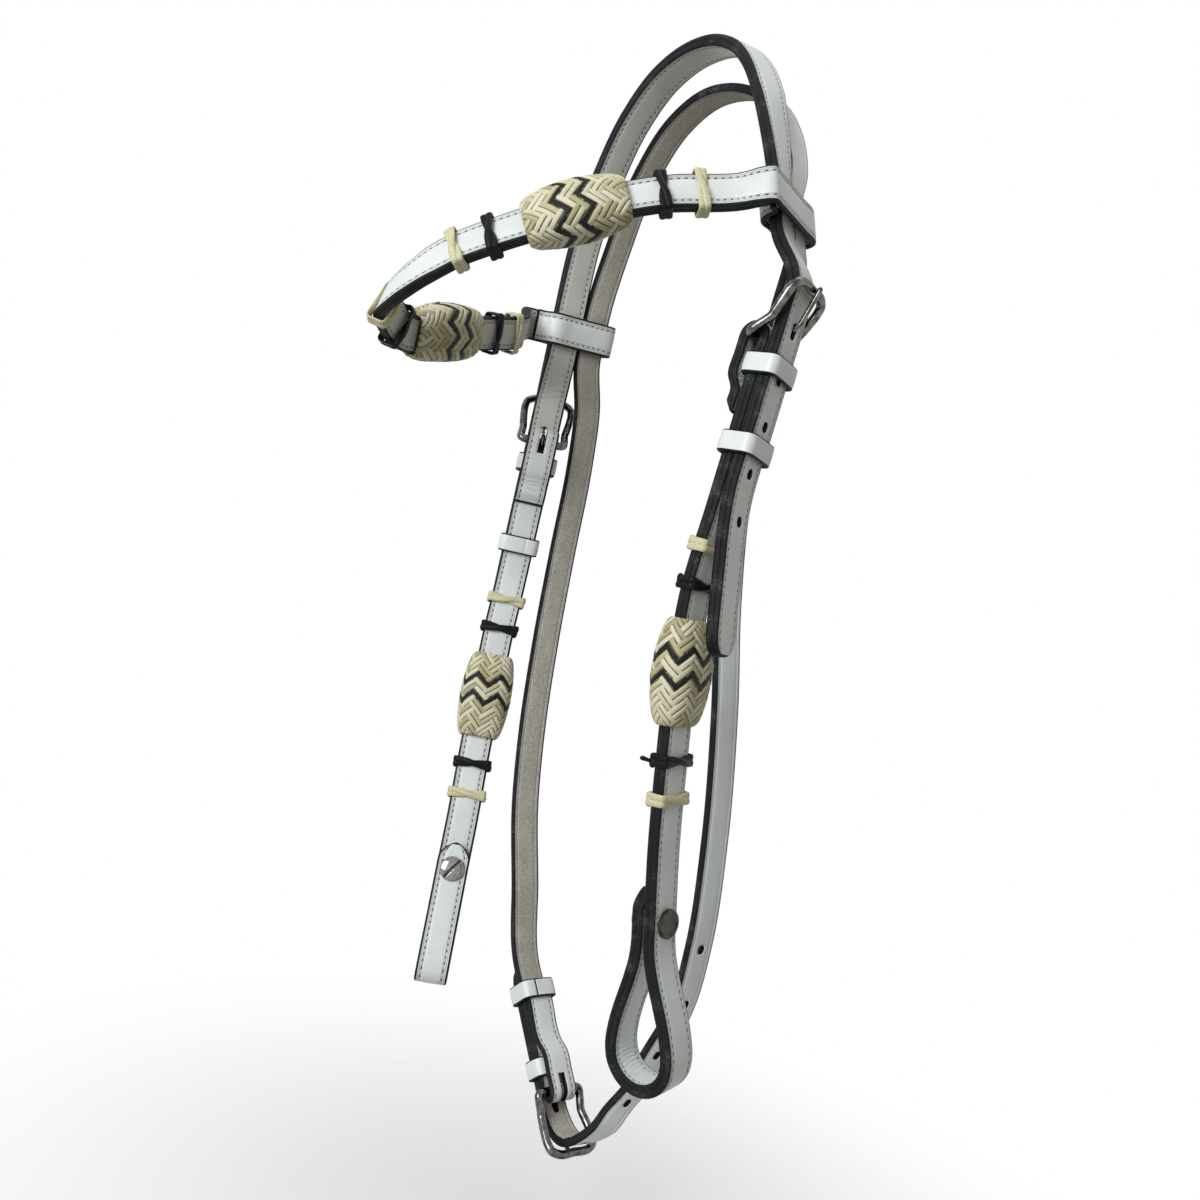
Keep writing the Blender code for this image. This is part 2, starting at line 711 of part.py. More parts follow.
def dress(prefix, route, at, width, thick, offset, parts, cutters):
    """A button with its two black wraps and its two rawhide wraps."""
    button(prefix + "_button", route, at, width, thick, offset, parts, cutters)
    gaps = []
    for end, sign in (("upper", -1), ("lower", 1)):
        for finish, spacing in (("black_lace", BLACK_SPACING), ("rawhide", RAWHIDE_SPACING)):
            label = finish.split("_")[0]
            place = at + sign * spacing / 2
            name = f"{prefix}_{label}_wrap_{end}"
            gaps.append(lace_wrap(name, route, place, width, thick, offset, finish, parts)[1])
    return min(gaps)


def bit_loop(route, screw_at, drop, radius, offset):
    """Sections below the screw: down the outer strand, round the foot and up to the tip."""
    half_gap = (STRAP_THICK + LAYER_GAP) / 2
    square_end = LOOP_TIP_ABOVE - LOOP_TIP_LENGTH
    along, across, out = route.axes(screw_at)
    start = route.point(screw_at) + (offset - half_gap) * out
    flat = SCREW_HEAD_RADIUS + 1 * MM
    path = [(flat * 0.6, half_gap)]
    side_length = drop - radius
    for share in np.linspace(0, 1, 7):
        eased = share**2 * (3 - 2 * share)
        path.append((flat + (side_length - flat) * share, half_gap + (radius - half_gap) * eased))
    turns = np.radians(np.arange(22.5, 180, 22.5))
    foot = [(side_length + radius * math.sin(a), radius * math.cos(a)) for a in turns]
    mirrored = [(down, -wide) for down, wide in reversed(path)]
    path = path + foot + mirrored + [(0.0, -half_gap), (-square_end, -half_gap)]
    points = np.array([start + down * along + wide * out for down, wide in path])
    sections = []
    for i, point in enumerate(points):
        before = points[max(i - 1, 0)]
        after = points[min(i + 1, len(points) - 1)]
        heading = unit(after - before)
        normal = route.side * np.cross(heading, across)
        sections.append(Section(point, across, normal, STRAP_WIDTH, STRAP_THICK))
    for share in (0.35, 0.65, 0.88, 1.0):
        up = square_end + LOOP_TIP_LENGTH * share
        narrow = STRAP_WIDTH - (STRAP_WIDTH - POINT_WIDTH) * share**1.5
        point = start - up * along - half_gap * out
        sections.append(Section(point, across, -out, narrow, STRAP_THICK))
    return sections


def turned(name, profile, finish, group):
    """A solid turned round the z axis from a profile that runs from top to bottom."""
    mesh = bpy.data.meshes.new(name)
    edges = [(i, i + 1) for i in range(len(profile) - 1)]
    mesh.from_pydata([(x, 0, z) for x, z in profile], edges, [])
    obj = add(name, mesh, finish, group)
    screw = obj.modifiers.new("Turn", "SCREW")
    screw.steps = 16
    screw.render_steps = 16
    screw.use_merge_vertices = True
    screw.merge_threshold = 0.00001
    return obj


def post_screw(prefix, route, at, offset, head_finish, parts, cutters):
    """A post with its head outside the strap, and a slotted screw into it from the inside."""
    grip = 2 * STRAP_THICK + LAYER_GAP
    along, across, out = route.axes(at)
    middle = route.point(at) + (offset - (STRAP_THICK + LAYER_GAP) / 2) * out
    frame = frame_matrix(middle, across, np.cross(out, across), out)
    face = grip / 2 + SEAT_GAP
    crown = face + SCREW_HEAD_HEIGHT
    bore = SHANK_RADIUS + SEAT_GAP
    head = [(0, crown), (SCREW_HEAD_RADIUS * 0.6, crown - 0.25 * MM)]
    head += [(SCREW_HEAD_RADIUS, face + 0.5 * MM), (SCREW_HEAD_RADIUS, face)]
    end = -grip / 2
    depth = SHANK_LENGTH - grip / 2 + SEAT_GAP
    post = turned(
        prefix + "_post",
        head + [(POST_RADIUS, face), (POST_RADIUS, end), (bore, end), (bore, depth), (0, depth)],
        head_finish,
        parts,
    )
    tip = face - SHANK_LENGTH
    shank = head + [(SHANK_RADIUS, face), (SHANK_RADIUS, tip), (0, tip)]
    screw = turned(prefix + "_screw", shank, "polished_steel", parts)
    post.matrix_world = frame
    screw.matrix_world = frame @ Matrix.Rotation(math.pi, 4, "X")
    low = (-DRIVER_SLOT_WIDTH / 2, -SCREW_HEAD_RADIUS * 1.2, crown - DRIVER_SLOT_DEPTH)
    high = (DRIVER_SLOT_WIDTH / 2, SCREW_HEAD_RADIUS * 1.2, crown + 1 * MM)
    slot = box_cutter(prefix + "_driver_slot", screw.matrix_world, low, high, cutters)
    cut(screw, [slot])
    hole = route.matrix(at, offset - (STRAP_THICK + LAYER_GAP) / 2)
    return oval_cutter(prefix + "_hole", hole, POST_RADIUS + SEAT_GAP, 0.0, grip + 4 * MM, cutters)


def cheek(name, place, route, screw_at, drop, radius, group):
    """A cheek strap: turn-back, fold, the hanging length and the bit loop."""
    middle = place.main_middle
    sections = place.fold()
    start = KEEPER_FROM_BAR + FOLD_STEP
    sections += route.sections(start, screw_at, place.width, place.thick, middle)
    sections += bit_loop(route, screw_at, drop, radius, middle)
    return strap(name, sections, "white_leather", group)


def bar_slot(name, place, group):
    """The slot in the fold that the tongue's ring turns in."""
    half = TONGUE_RADIUS + TONGUE_PLAY
    reach = place.outer_face + LAYER_GAP / 2
    low = (-half, -reach - 1 * MM, -reach)
    high = (half, reach, SLOT_LENGTH)
    return box_cutter(name, seat_matrix(place), low, high, group)


def tongue_slot(name, place, group):
    """The oval hole in the billet that the tongue stands in, long enough for it to swing."""
    ring = WIRE_RADIUS + SEAT_GAP + TONGUE_RADIUS
    low = ring + TONGUE_RISE_IN - math.sin(TONGUE_SWING) * (place.outer_face + LAYER_GAP)
    high = ring + TONGUE_RISE_OUT - math.sin(TONGUE_SWING) * place.billet_outer_face
    bottom = min(low, high) - TONGUE_RADIUS - SEAT_GAP
    top = ring + TONGUE_RISE_OUT + TONGUE_RADIUS + 2 * SEAT_GAP
    radius = TONGUE_RADIUS + TONGUE_PLAY
    centre = Matrix.Translation(Vector((0, place.billet_middle, -(bottom + top) / 2)))
    frame = seat_matrix(place) @ centre
    return oval_cutter(name, frame, radius, top - bottom - 2 * radius, place.thick + LAYER_GAP, group)


def spare_holes(prefix, place, route, pitch, steps, group):
    """The spare holes of a billet, at whole pitches from the one that the tongue is in."""
    ring = WIRE_RADIUS + SEAT_GAP + TONGUE_RADIUS
    used = route.nearest(place.point(-ring - TONGUE_RISE_IN, place.billet_middle))
    holes = []
    for step in steps:
        name = f"{prefix}_hole_{len(holes)}"
        frame = route.matrix(used + step * pitch)
        holes.append(oval_cutter(name, frame, HOLE_RADIUS, 1 * MM, place.thick + LAYER_GAP, group))
    return holes


def brow_loop_path(loop):
    """The outline of an end loop, from the return end round to where the band leaves it."""
    long = loop.half_length
    deep = loop.half_depth
    beside = deep - LOOP_THICK - LAYER_GAP
    corner = LOOP_THICK / 2 + 1.6 * MM
    path = [(-long - 6 * MM, beside), (-long - 1.5 * MM, beside - 0.6 * MM)]
    path.append((-long + 0.6 * MM, -deep + 2.2 * MM))
    path += [(-long + 3 * MM, -deep), (-long / 3, -deep), (long / 3, -deep)]
    for centre_out, start in ((-deep + corner, -90), (deep - corner, 0)):
        for angle in np.radians(np.linspace(start, start + 90, 4)):
            back = long - corner + corner * math.cos(angle)
            path.append((back, centre_out + corner * math.sin(angle)))
    path += [(long / 3, deep), (-long / 3, deep), (-long + 3 * MM, deep)]
    return path


def brow_loop_sections(loop):
    path = brow_loop_path(loop)
    sections = []
    for i, (back, out) in enumerate(path):
        before = np.array(path[max(i - 1, 0)])
        after = np.array(path[min(i + 1, len(path) - 1)])
        heading = unit(after - before)
        normal = heading[1] * loop.back - heading[0] * loop.out
        sections.append(Section(loop.place(back, out), -loop.down, normal, BROW_WIDTH, LOOP_THICK))
    return sections


def browband(route, group):
    """One strap whose single layer goes round the crown and throatlatch at each end."""
    lining = (BROW_THICK - LOOP_THICK) / 2
    near = brow_loop_sections(RIGHT_LOOP)
    far = brow_loop_sections(LEFT_LOOP)[::-1]
    single = [route.section(at, BROW_WIDTH, LOOP_THICK) for at in (0, BROW_LINED_FROM)]
    start = BROW_LINED_FROM + BROW_STEP
    lined = route.sections(start, route.length - start, BROW_WIDTH, BROW_THICK, -lining)
    ends = (route.length - BROW_LINED_FROM, route.length)
    end = [route.section(at, BROW_WIDTH, LOOP_THICK) for at in ends]
    return strap("browband", near + single + lined + end + far, "white_leather", group)


def crown(route, parts, cutters):
    first = pointed(route, POINT_LENGTH, 0, STRAP_WIDTH, STRAP_THICK)[::-1]
    last = pointed(route, route.length - POINT_LENGTH, route.length, STRAP_WIDTH, STRAP_THICK)
    start = POINT_LENGTH + POINT_STEP
    body = route.sections(start, route.length - start, STRAP_WIDTH, STRAP_THICK)
    strip = strap("crown_strap", first + body + last, "white_leather", parts)
    steps = range(1, CROWN_SPARE_HOLES + 1)
    far = spare_holes("far_billet", LEFT, route, CROWN_HOLE_PITCH, [-step for step in steps], cutters)
    near = spare_holes("near_billet", RIGHT, route, CROWN_HOLE_PITCH, steps, cutters)
    slots = [tongue_slot("far_tongue_slot", LEFT, cutters), tongue_slot("near_tongue_slot", RIGHT, cutters)]
    cut(strip, far + near + slots)


def throatlatch(route, parts, cutters):
    start = KEEPER_FROM_BAR + FOLD_STEP
    end = route.length - POINT_LENGTH
    sections = THROAT.fold()
    sections += route.sections(start, end - POINT_STEP, THROAT_WIDTH, THROAT_THICK)
    sections += pointed(route, end, route.length, THROAT_WIDTH, THROAT_THICK)
    strip = strap("throatlatch_strap", sections, "white_leather", parts)
    steps = [*range(-THROAT_SPARE_HOLES, 0), 1]
    holes = spare_holes("throat_billet", THROAT, route, THROAT_HOLE_PITCH, steps, cutters)
    fold_slot = bar_slot("throat_bar_slot", THROAT, cutters)
    cut(strip, [fold_slot, tongue_slot("throat_tongue_slot", THROAT, cutters), *holes])


def buckle_set(prefix, place, keeper_at, under_turn_back, parts):
    """A buckle's frame and tongue, its fixed keeper and its loose keeper."""
    buckle_frame(prefix + "_buckle_frame", place, parts)
    tongue(prefix + "_buckle_tongue", place, parts)
    low = place.inner_face - SEAT_GAP
    high = place.billet_outer_face + LAYER_GAP
    middle = KEEPER_FROM_BAR + KEEPER_BAND / 2
    keeper(prefix + "_fixed_keeper", place, middle, low, high, parts)
    low = place.inner_face - LAYER_GAP
    if under_turn_back:
        low -= place.fold_thick + LAYER_GAP
    keeper(prefix + "_loose_keeper", place, keeper_at, low, high, parts)


def main():
    for obj in list(bpy.data.objects):
        bpy.data.objects.remove(obj)
    parts = collection("Headstall")
    cutters = collection("Cutters")
    crown(crown_route(), parts, cutters)
    throatlatch(throat_route(), parts, cutters)
    brow = brow_route()
    browband(brow, parts)
    far_route = left_cheek_route()
    near_route = right_cheek_route()
    far_foot = (LEFT_SCREW_AT, LEFT_LOOP_DROP, LEFT_LOOP_RADIUS)
    near_foot = (RIGHT_SCREW_AT, RIGHT_LOOP_DROP, RIGHT_LOOP_RADIUS)
    far = cheek("far_cheek_strap", LEFT, far_route, *far_foot, parts)
    near = cheek("near_cheek_strap", RIGHT, near_route, *near_foot, parts)
    middle = LEFT.main_middle
    far_hole = post_screw("far_loop", far_route, LEFT_SCREW_AT, middle, "polished_steel", parts, cutters)
    near_hole = post_screw("near_loop", near_route, RIGHT_SCREW_AT, middle, "dark_bronze", parts, cutters)
    cut(far, [bar_slot("far_bar_slot", LEFT, cutters), far_hole])
    cut(near, [bar_slot("near_bar_slot", RIGHT, cutters), near_hole])
    buckle_set("far", LEFT, LEFT_KEEPER_AT, False, parts)
    buckle_set("near", RIGHT, RIGHT_KEEPER_AT, False, parts)
    buckle_set("throat", THROAT, THROAT_KEEPER_AT, True, parts)
    lining = -(BROW_THICK - LOOP_THICK) / 2
    cheek_layer = (STRAP_WIDTH, STRAP_THICK, middle)
    brow_layer = (BROW_WIDTH, BROW_THICK, lining)
    gaps = [
        dress("far_cheek", far_route, LEFT_BUTTON_AT, *cheek_layer, parts, cutters),
        dress("near_cheek", near_route, RIGHT_BUTTON_AT, *cheek_layer, parts, cutters),
        dress("brow_near", brow, BROW_BUTTON_AT, *brow_layer, parts, cutters),
        dress("brow_far", brow, brow.length - BROW_BUTTON_AT, *brow_layer, parts, cutters),
    ]
    print(f"Least gap between the turns of a lace wrap: {min(gaps) / MM:.2f} mm")


main()
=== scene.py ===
"""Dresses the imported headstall: stitched white leather, braided rawhide, lace and polished steel.

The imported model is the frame. Each soft solid is replaced by a surface worked out with numpy
along the same routes, in metres, with +Z up and the crown's underside at the origin.
"""

import logging
import math
from dataclasses import dataclass
from enum import Enum

import bpy
import numpy as np
from mathutils import Matrix, Vector


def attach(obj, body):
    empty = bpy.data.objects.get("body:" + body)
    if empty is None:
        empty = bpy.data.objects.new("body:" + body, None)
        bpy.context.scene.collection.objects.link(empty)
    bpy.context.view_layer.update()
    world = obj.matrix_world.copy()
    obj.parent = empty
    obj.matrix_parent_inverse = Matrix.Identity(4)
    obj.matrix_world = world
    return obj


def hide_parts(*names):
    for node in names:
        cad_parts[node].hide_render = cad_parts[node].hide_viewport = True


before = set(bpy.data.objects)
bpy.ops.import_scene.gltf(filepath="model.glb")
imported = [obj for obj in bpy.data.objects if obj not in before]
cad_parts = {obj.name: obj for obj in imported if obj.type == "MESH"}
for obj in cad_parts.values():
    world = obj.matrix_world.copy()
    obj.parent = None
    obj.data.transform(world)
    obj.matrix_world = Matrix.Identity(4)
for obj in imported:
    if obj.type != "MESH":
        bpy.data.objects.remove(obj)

Array = np.ndarray
Triple = tuple[float, float, float]
Material = bpy.types.Material
Node = bpy.types.Node
Object = bpy.types.Object
Socket = bpy.types.NodeSocket
Tree = bpy.types.NodeTree
MM = 0.001
log = logging.getLogger("headstall")

# Overall size, and the box that the routes are drawn in
HANG = np.array((207, 200, 530)) * MM
SKETCH = np.array((207, 200, 530))

# Straps
STRAP_WIDTH = 16 * MM
STRAP_THICK = 5.5 * MM
THROAT_WIDTH = 14 * MM
THROAT_THICK = 4 * MM
BROW_WIDTH = 16 * MM
BROW_THICK = 5 * MM
LOOP_THICK = 2.6 * MM
LOOP_BEND = 1.6 * MM
HELD_STEP = 12 * MM
CHEEK_FOLD_THICK = 4.6 * MM
THROAT_FOLD_THICK = 3 * MM
SKIVED_TIP = 1.2 * MM
SKIVE_LENGTH = 5 * MM
FOLD_LEAVE = 3 * MM
FOLD_STEP = 4 * MM
CLOSING_LENGTH = 7 * MM
BROW_LEAVE = (3 * MM, 9 * MM)
BROW_LINED_FROM = 8 * MM
BROW_STEP = 2 * MM
POINT_LENGTH = 11 * MM
POINT_WIDTH = 5 * MM
POINT_STEP = 4 * MM

# Clearances
LAYER_GAP = 0.5 * MM
SEAT_GAP = 0.35 * MM
LOOP_PLAY = 1.2 * MM
TONGUE_PLAY = 0.6 * MM
TONGUE_ROOM = 0.5 * MM
FRAME_CLEAR = 1.4 * MM

# Buckles
WIRE_RADIUS = 2 * MM
TONGUE_RADIUS = 1.1 * MM
TONGUE_RING = WIRE_RADIUS + SEAT_GAP + TONGUE_RADIUS
FRAME_WIDTH = 23 * MM
FRAME_RISE = 11 * MM
FRAME_REACH = 18 * MM
FRAME_RISE_TILT = math.radians(48)
FRAME_REACH_TILT = math.radians(25)
THROAT_FRAME_TURN = math.radians(36)
TONGUE_SWING = math.radians(9)
TONGUE_RISE_IN = 1.2 * MM
TONGUE_RISE_OUT = 3.4 * MM
TONGUE_LIFT = 2 * MM
TONGUE_TIP = 1.5 * MM
SLOT_LENGTH = 6.4 * MM

# Keepers
KEEPER_THICK = 1.8 * MM
KEEPER_BAND = 9 * MM
KEEPER_FROM_BAR = 7.2 * MM
KEEPER_BEND = 2.6 * MM
KEEPER_STEP = 0.5 * MM
KEEPER_DOME = 0.5 * MM
RIGHT_KEEPER_AT = 45 * MM
LEFT_KEEPER_AT = 55 * MM
THROAT_KEEPER_AT = 48 * MM
CHEEK_TURN_BACK = 33 * MM
THROAT_TURN_BACK = 50 * MM
STRAIGHT = 66 * MM
THREADED = 14 * MM
CROWN_PARTS_AT = 24 * MM
THROAT_THREADED = 9 * MM

# Holes
HOLE_RADIUS = 1.8 * MM
CROWN_HOLE_PITCH = 20 * MM
CROWN_SPARE_HOLES = 4
THROAT_HOLE_PITCH = 27 * MM
THROAT_SPARE_HOLES = 5

# Bit loops and their post screws
LEFT_LOOP_DROP = 52 * MM
LEFT_LOOP_RADIUS = 4.8 * MM
RIGHT_LOOP_DROP = 68 * MM
RIGHT_LOOP_RADIUS = 14 * MM
LOOP_TIP_ABOVE = 13 * MM
LOOP_TIP_LENGTH = 8 * MM
LEFT_SCREW_AT = 0.423 * HANG[2]
RIGHT_SCREW_AT = 0.453 * HANG[2]
SCREW_HEAD_RADIUS = 6 * MM
SCREW_HEAD_HEIGHT = 2.2 * MM
POST_RADIUS = 2.4 * MM
SHANK_RADIUS = 1.3 * MM
SHANK_LENGTH = 8 * MM
DRIVER_SLOT_WIDTH = 1.4 * MM
DRIVER_SLOT_DEPTH = 0.9 * MM
DRIVER_SLOT_TURN = math.radians(-36)
HEAD_EDGE = 0.7 * MM
HEAD_SHARP = 30

# Braided buttons and their lace wraps
BUTTON_LENGTH = 43 * MM
BUTTON_END_WIDTH = 20 * MM
BUTTON_END_THICK = 12 * MM
BUTTON_WIDTH = 26 * MM
BUTTON_THICK = 20 * MM
BLACK_SPACING = 71 * MM
RAWHIDE_SPACING = 102 * MM
LACE_RADIUS = 0.95 * MM
LACE_PITCH = 2.4 * MM
LACE_GAP = 0.45 * MM
LACE_TURNS = 2
LACE_STEP = 0.35 * MM
LEFT_BUTTON_AT = 0.255 * HANG[2]
RIGHT_BUTTON_AT = 0.262 * HANG[2]
BROW_BUTTON_AT = 0.435 * HANG[1]

# Stitching: 3 mm from hole to hole, 2.7 mm in from the strap's edge
STITCH_PITCH = 3 * MM
STITCH_INSET = 2.7 * MM
STITCH_LENGTH = 2.2 * MM
STITCH_RADIUS = 0.34 * MM

# The crease line pressed in along a strap's edge, and the bend that presses leather together
CREASE_INSET = 1.65 * MM
CREASE_HALF = 0.26 * MM
PRESS_LENGTH = 16 * MM

# How finely the surfaces are drawn, and the radius at which a turned shape meets its axis
ROUTE_STEP = 4 * MM
STRAP_STEP = 1.3 * MM
WRINKLED_STEP = 0.5 * MM
LEAST_STEP = 0.01 * MM
WIRE_SIDES = 16
PLUG_SIDES = 28
AXIS = 0.001 * MM

# A buckle's frame: shares of half its width and of its side's length, from the bar's middle
FRAME_OUTLINE = (
    *((0.26, 0.0), (0.52, 0.0), (0.74, 0.0), (0.86, 0.0), (0.98, 0.035), (1.0, 0.12)),
    *((0.98, 0.28), (0.98, 0.36), (1.01, 0.45), (1.07, 0.65), (1.08, 0.8)),
    *((1.0, 0.92), (0.76, 0.985)),
)


class Face(Enum):
    """The places of the finishes in a strap's material slots."""

    OUTER = 0
    EDGE = 1
    INNER = 2
    PLAIN = 3


class Backing(Enum):
    """What a strap's inner face is, by the name of its finish."""

    COATED = "sewn"
    LINED = "lining"
    SUEDE = "suede"


def unit(vectors: Array) -> Array:
    """Vectors at length one.

    Args:
        vectors: One vector, or an array of them in rows.

    Returns:
        Each vector divided by its length.
    """
    return vectors / np.linalg.norm(vectors, axis=-1, keepdims=True)


def square_to(vectors: Array, axes: Array) -> Array:
    """The parts of vectors that are square to unit axes, at length one.

    Args:
        vectors: Rows of vectors.
        axes: Rows of unit vectors.

    Returns:
        Each vector less its shadow on its axis, at length one.
    """
    return unit(vectors - np.sum(vectors * axes, axis=-1, keepdims=True) * axes)


def travelled(points: Array, least: float = 0.0) -> Array:
    """The distance of each point along the line through all of them, in steps of at least least."""
    steps = np.linalg.norm(np.diff(points, axis=0), axis=1)
    return np.concatenate([[0], np.cumsum(np.maximum(steps, least))])


def tangents(points: Array, closed: bool = False) -> Array:
    """The direction of a line at each of its points, from the points on both sides."""
    if closed:
        return unit(np.roll(points, -1, axis=0) - np.roll(points, 1, axis=0))
    return unit(np.gradient(points, axis=0))


def placed(points: list[Triple]) -> Array:
    """Points of the sketch in metres, in their places at the overall size."""
    return np.array(points, float) * HANG / SKETCH


def hermite(knots: Array, values: Array, at: Array) -> Array:
    """A smooth cubic through rows of values, with slopes from their neighbours.

    Args:
        knots: The distance of each row.
        values: The rows that the line passes through.
        at: The distances to work out.

    Returns:
        One row for each distance.
    """
    slopes = np.gradient(values, knots, axis=0)
    i = np.clip(np.searchsorted(knots, at) - 1, 0, len(knots) - 2)
    span = (knots[i + 1] - knots[i])[:, None]
    t = (at - knots[i])[:, None] / span
    start = values[i] * (2 * t**3 - 3 * t**2 + 1) + slopes[i] * span * (t**3 - 2 * t**2 + t)
    end = values[i + 1] * (3 * t**2 - 2 * t**3) + slopes[i + 1] * span * (t**3 - t**2)
    return start + end


@dataclass(frozen=True)
class Stations:
    """Cross-sections of a strap in rows: middle, directions, width and thickness."""

    centres: Array
    across: Array
    out: Array
    widths: Array
    thicks: Array

    @classmethod
    def of(
        cls, centres: Array, across: Array, out: Array, width: Array | float, thick: Array | float
    ) -> "Stations":
        """Stations at the centres. A direction or a size that is given once holds for all."""
        count = len(centres)
        directions = (np.broadcast_to(axis, (count, 3)) for axis in (across, out))
        sizes = (np.broadcast_to(size, count).astype(float) for size in (width, thick))
        return cls(centres, *directions, *sizes)

    @classmethod
    def join(cls, parts: list["Stations"]) -> "Stations":
        """One run of stations made of several, end to end."""
        columns = zip(*(vars(part).values() for part in parts))
        return cls(*(np.concatenate(rows) for rows in columns))

    def picked(self, order: Array | slice) -> "Stations":
        """The stations with these numbers, in this order."""
        return Stations(*(rows[order] for rows in vars(self).values()))

    def backwards(self) -> "Stations":
        """The same stations in the opposite order."""
        return self.picked(slice(None, None, -1))

    def distances(self) -> Array:
        """The distance of each station along the middle line."""
        return travelled(self.centres, LEAST_STEP)

    def surface(self, x: Array, y: Array) -> Array:
        """A grid of points: each station's middle, plus x times across and y times out."""
        sideways = x[..., None] * self.across[:, None]
        return self.centres[:, None] + sideways + y[..., None] * self.out[:, None]

    def at(self, places: Array) -> "Stations":
        """Stations at other distances, by a smooth cubic through these ones.

        Args:
            places: Distances along the middle line.

        Returns:
            One station for each distance, its outward direction square to its width.
        """
        knots = self.distances()
        rows = hermite(knots, np.hstack([self.centres, self.across, self.out]), places)
        across = unit(rows[:, 3:6])
        sizes = (np.interp(places, knots, size) for size in (self.widths, self.thicks))
        return Stations(rows[:, :3], across, square_to(rows[:, 6:], across), *sizes)

    def refined(self, step: float, edge: float) -> "Stations":
        """Stations at an even fine step, closer at both ends, where they thin to a round edge.

        Args:
            step: About how far apart they are.
            edge: The radius of the round ends.

        Returns:
            The stations. At a share t of the radius from an end, width and thickness lose
            2 edge (1 - sqrt(1 - 0.85 (1 - t)^2)).
        """
        length = self.distances()[-1]
        near = edge * np.array((0, 0.06, 0.2, 0.45, 0.75))
        inner = np.linspace(edge, length - edge, int(length / step) + 2)
        places = np.concatenate([near, inner, length - near[::-1]])
        fine = self.at(places)
        share = np.minimum(np.minimum(places, length - places) / edge, 1)
        loss = 2 * edge * (1 - np.sqrt(1 - 0.85 * (1 - share) ** 2))
        return Stations(
            fine.centres,
            fine.across,
            fine.out,
            np.maximum(fine.widths - loss, fine.widths * 0.4),
            np.maximum(fine.thicks - loss, fine.thicks * 0.35),
        )


class Route:
    """A smooth line through chosen points, with the strap's width direction along it."""

    def __init__(self, stops: list[tuple[Array, Array]], side: float = 1.0) -> None:
        """Takes the points with their width directions, and the side that is outwards."""
        self.points = np.array([stop[0] for stop in stops], float)
        self.hints = unit(np.array([stop[1] for stop in stops], float))
        self.side = side
        self.knots = travelled(self.points)
        self.length = float(self.knots[-1])

    def point(self, at: Array) -> Array:
        """The points at distances along the route, in rows."""
        return hermite(self.knots, self.points, np.atleast_1d(np.asarray(at, float)))

    def axes(self, at: Array) -> tuple[Array, Array, Array]:
        """Along, across and outward directions at distances along the route.

        Args:
            at: Distances along the route.

        Returns:
            Three arrays of rows. Outwards is along crossed with across, turned to the side.
        """
        at = np.atleast_1d(np.asarray(at, float))
        reach = 0.5 * MM
        along = unit(self.point(at + reach) - self.point(at - reach))
        hints = np.stack([np.interp(at, self.knots, self.hints[:, i]) for i in range(3)], axis=1)
        across = square_to(hints, along)
        return along, across, self.side * np.cross(along, across)

    def stations(
        self, at: Array, width: float | Array, thick: float, offset: float = 0.0
    ) -> Stations:
        """Strap stations at distances along the route, moved outwards by offset."""
        at = np.atleast_1d(np.asarray(at, float))
        _, across, out = self.axes(at)
        return Stations.of(self.point(at) + offset * out, across, out, width, thick)

    def run(
        self, start: float, end: float, width: float, thick: float, offset: float = 0.0
    ) -> Stations:
        """Stations from start to end, about a route's step apart."""
        count = max(2, int(abs(end - start) / ROUTE_STEP) + 1)
        return self.stations(np.linspace(start, end, count), width, thick, offset)

    def point_of_strap(self, start: float, end: float, width: float, thick: float) -> Stations:
        """Stations that narrow from full width at start to a blunt point at end."""
        shares = np.linspace(0, 1, 12)
        narrow = width - (width - POINT_WIDTH) * (1 - np.sqrt(1 - shares**2 * 0.98))
        narrow = narrow * np.sqrt(1 - 0.8 * shares**9)
        return self.stations(start + (end - start) * shares, narrow, thick)

    def nearest(self, point: Array) -> float:
        """The distance along the route that comes nearest to a point."""
        places = np.arange(0, self.length, MM / 4)
        return float(places[np.argmin(np.linalg.norm(self.point(places) - point, axis=1))])

    def matrix(self, at: float, offset: float = 0.0) -> Matrix:
        """The frame at a distance along the route: x across, y out, z along."""
        along, across, out = (rows[0] for rows in self.axes(at))
        return frame_matrix(self.point(at)[0] + offset * out, across, out, along)


def frame_matrix(origin: Array, x_axis: Array, y_axis: Array, z_axis: Array) -> Matrix:
    """A right-handed frame at origin, with its x turned round where the axes are left-handed."""
    columns = np.column_stack([x_axis, y_axis, z_axis, origin])
    if np.linalg.det(columns[:, :3]) < 0:
        columns[:, 0] *= -1
    return Matrix([*columns.tolist(), [0, 0, 0, 1]])


def moved(points: Array, matrix: Matrix) -> Array:
    """Points of a frame, in rows of any shape, put into world space."""
    full = np.array(matrix)
    return points @ full[:3, :3].T + full[:3, 3]


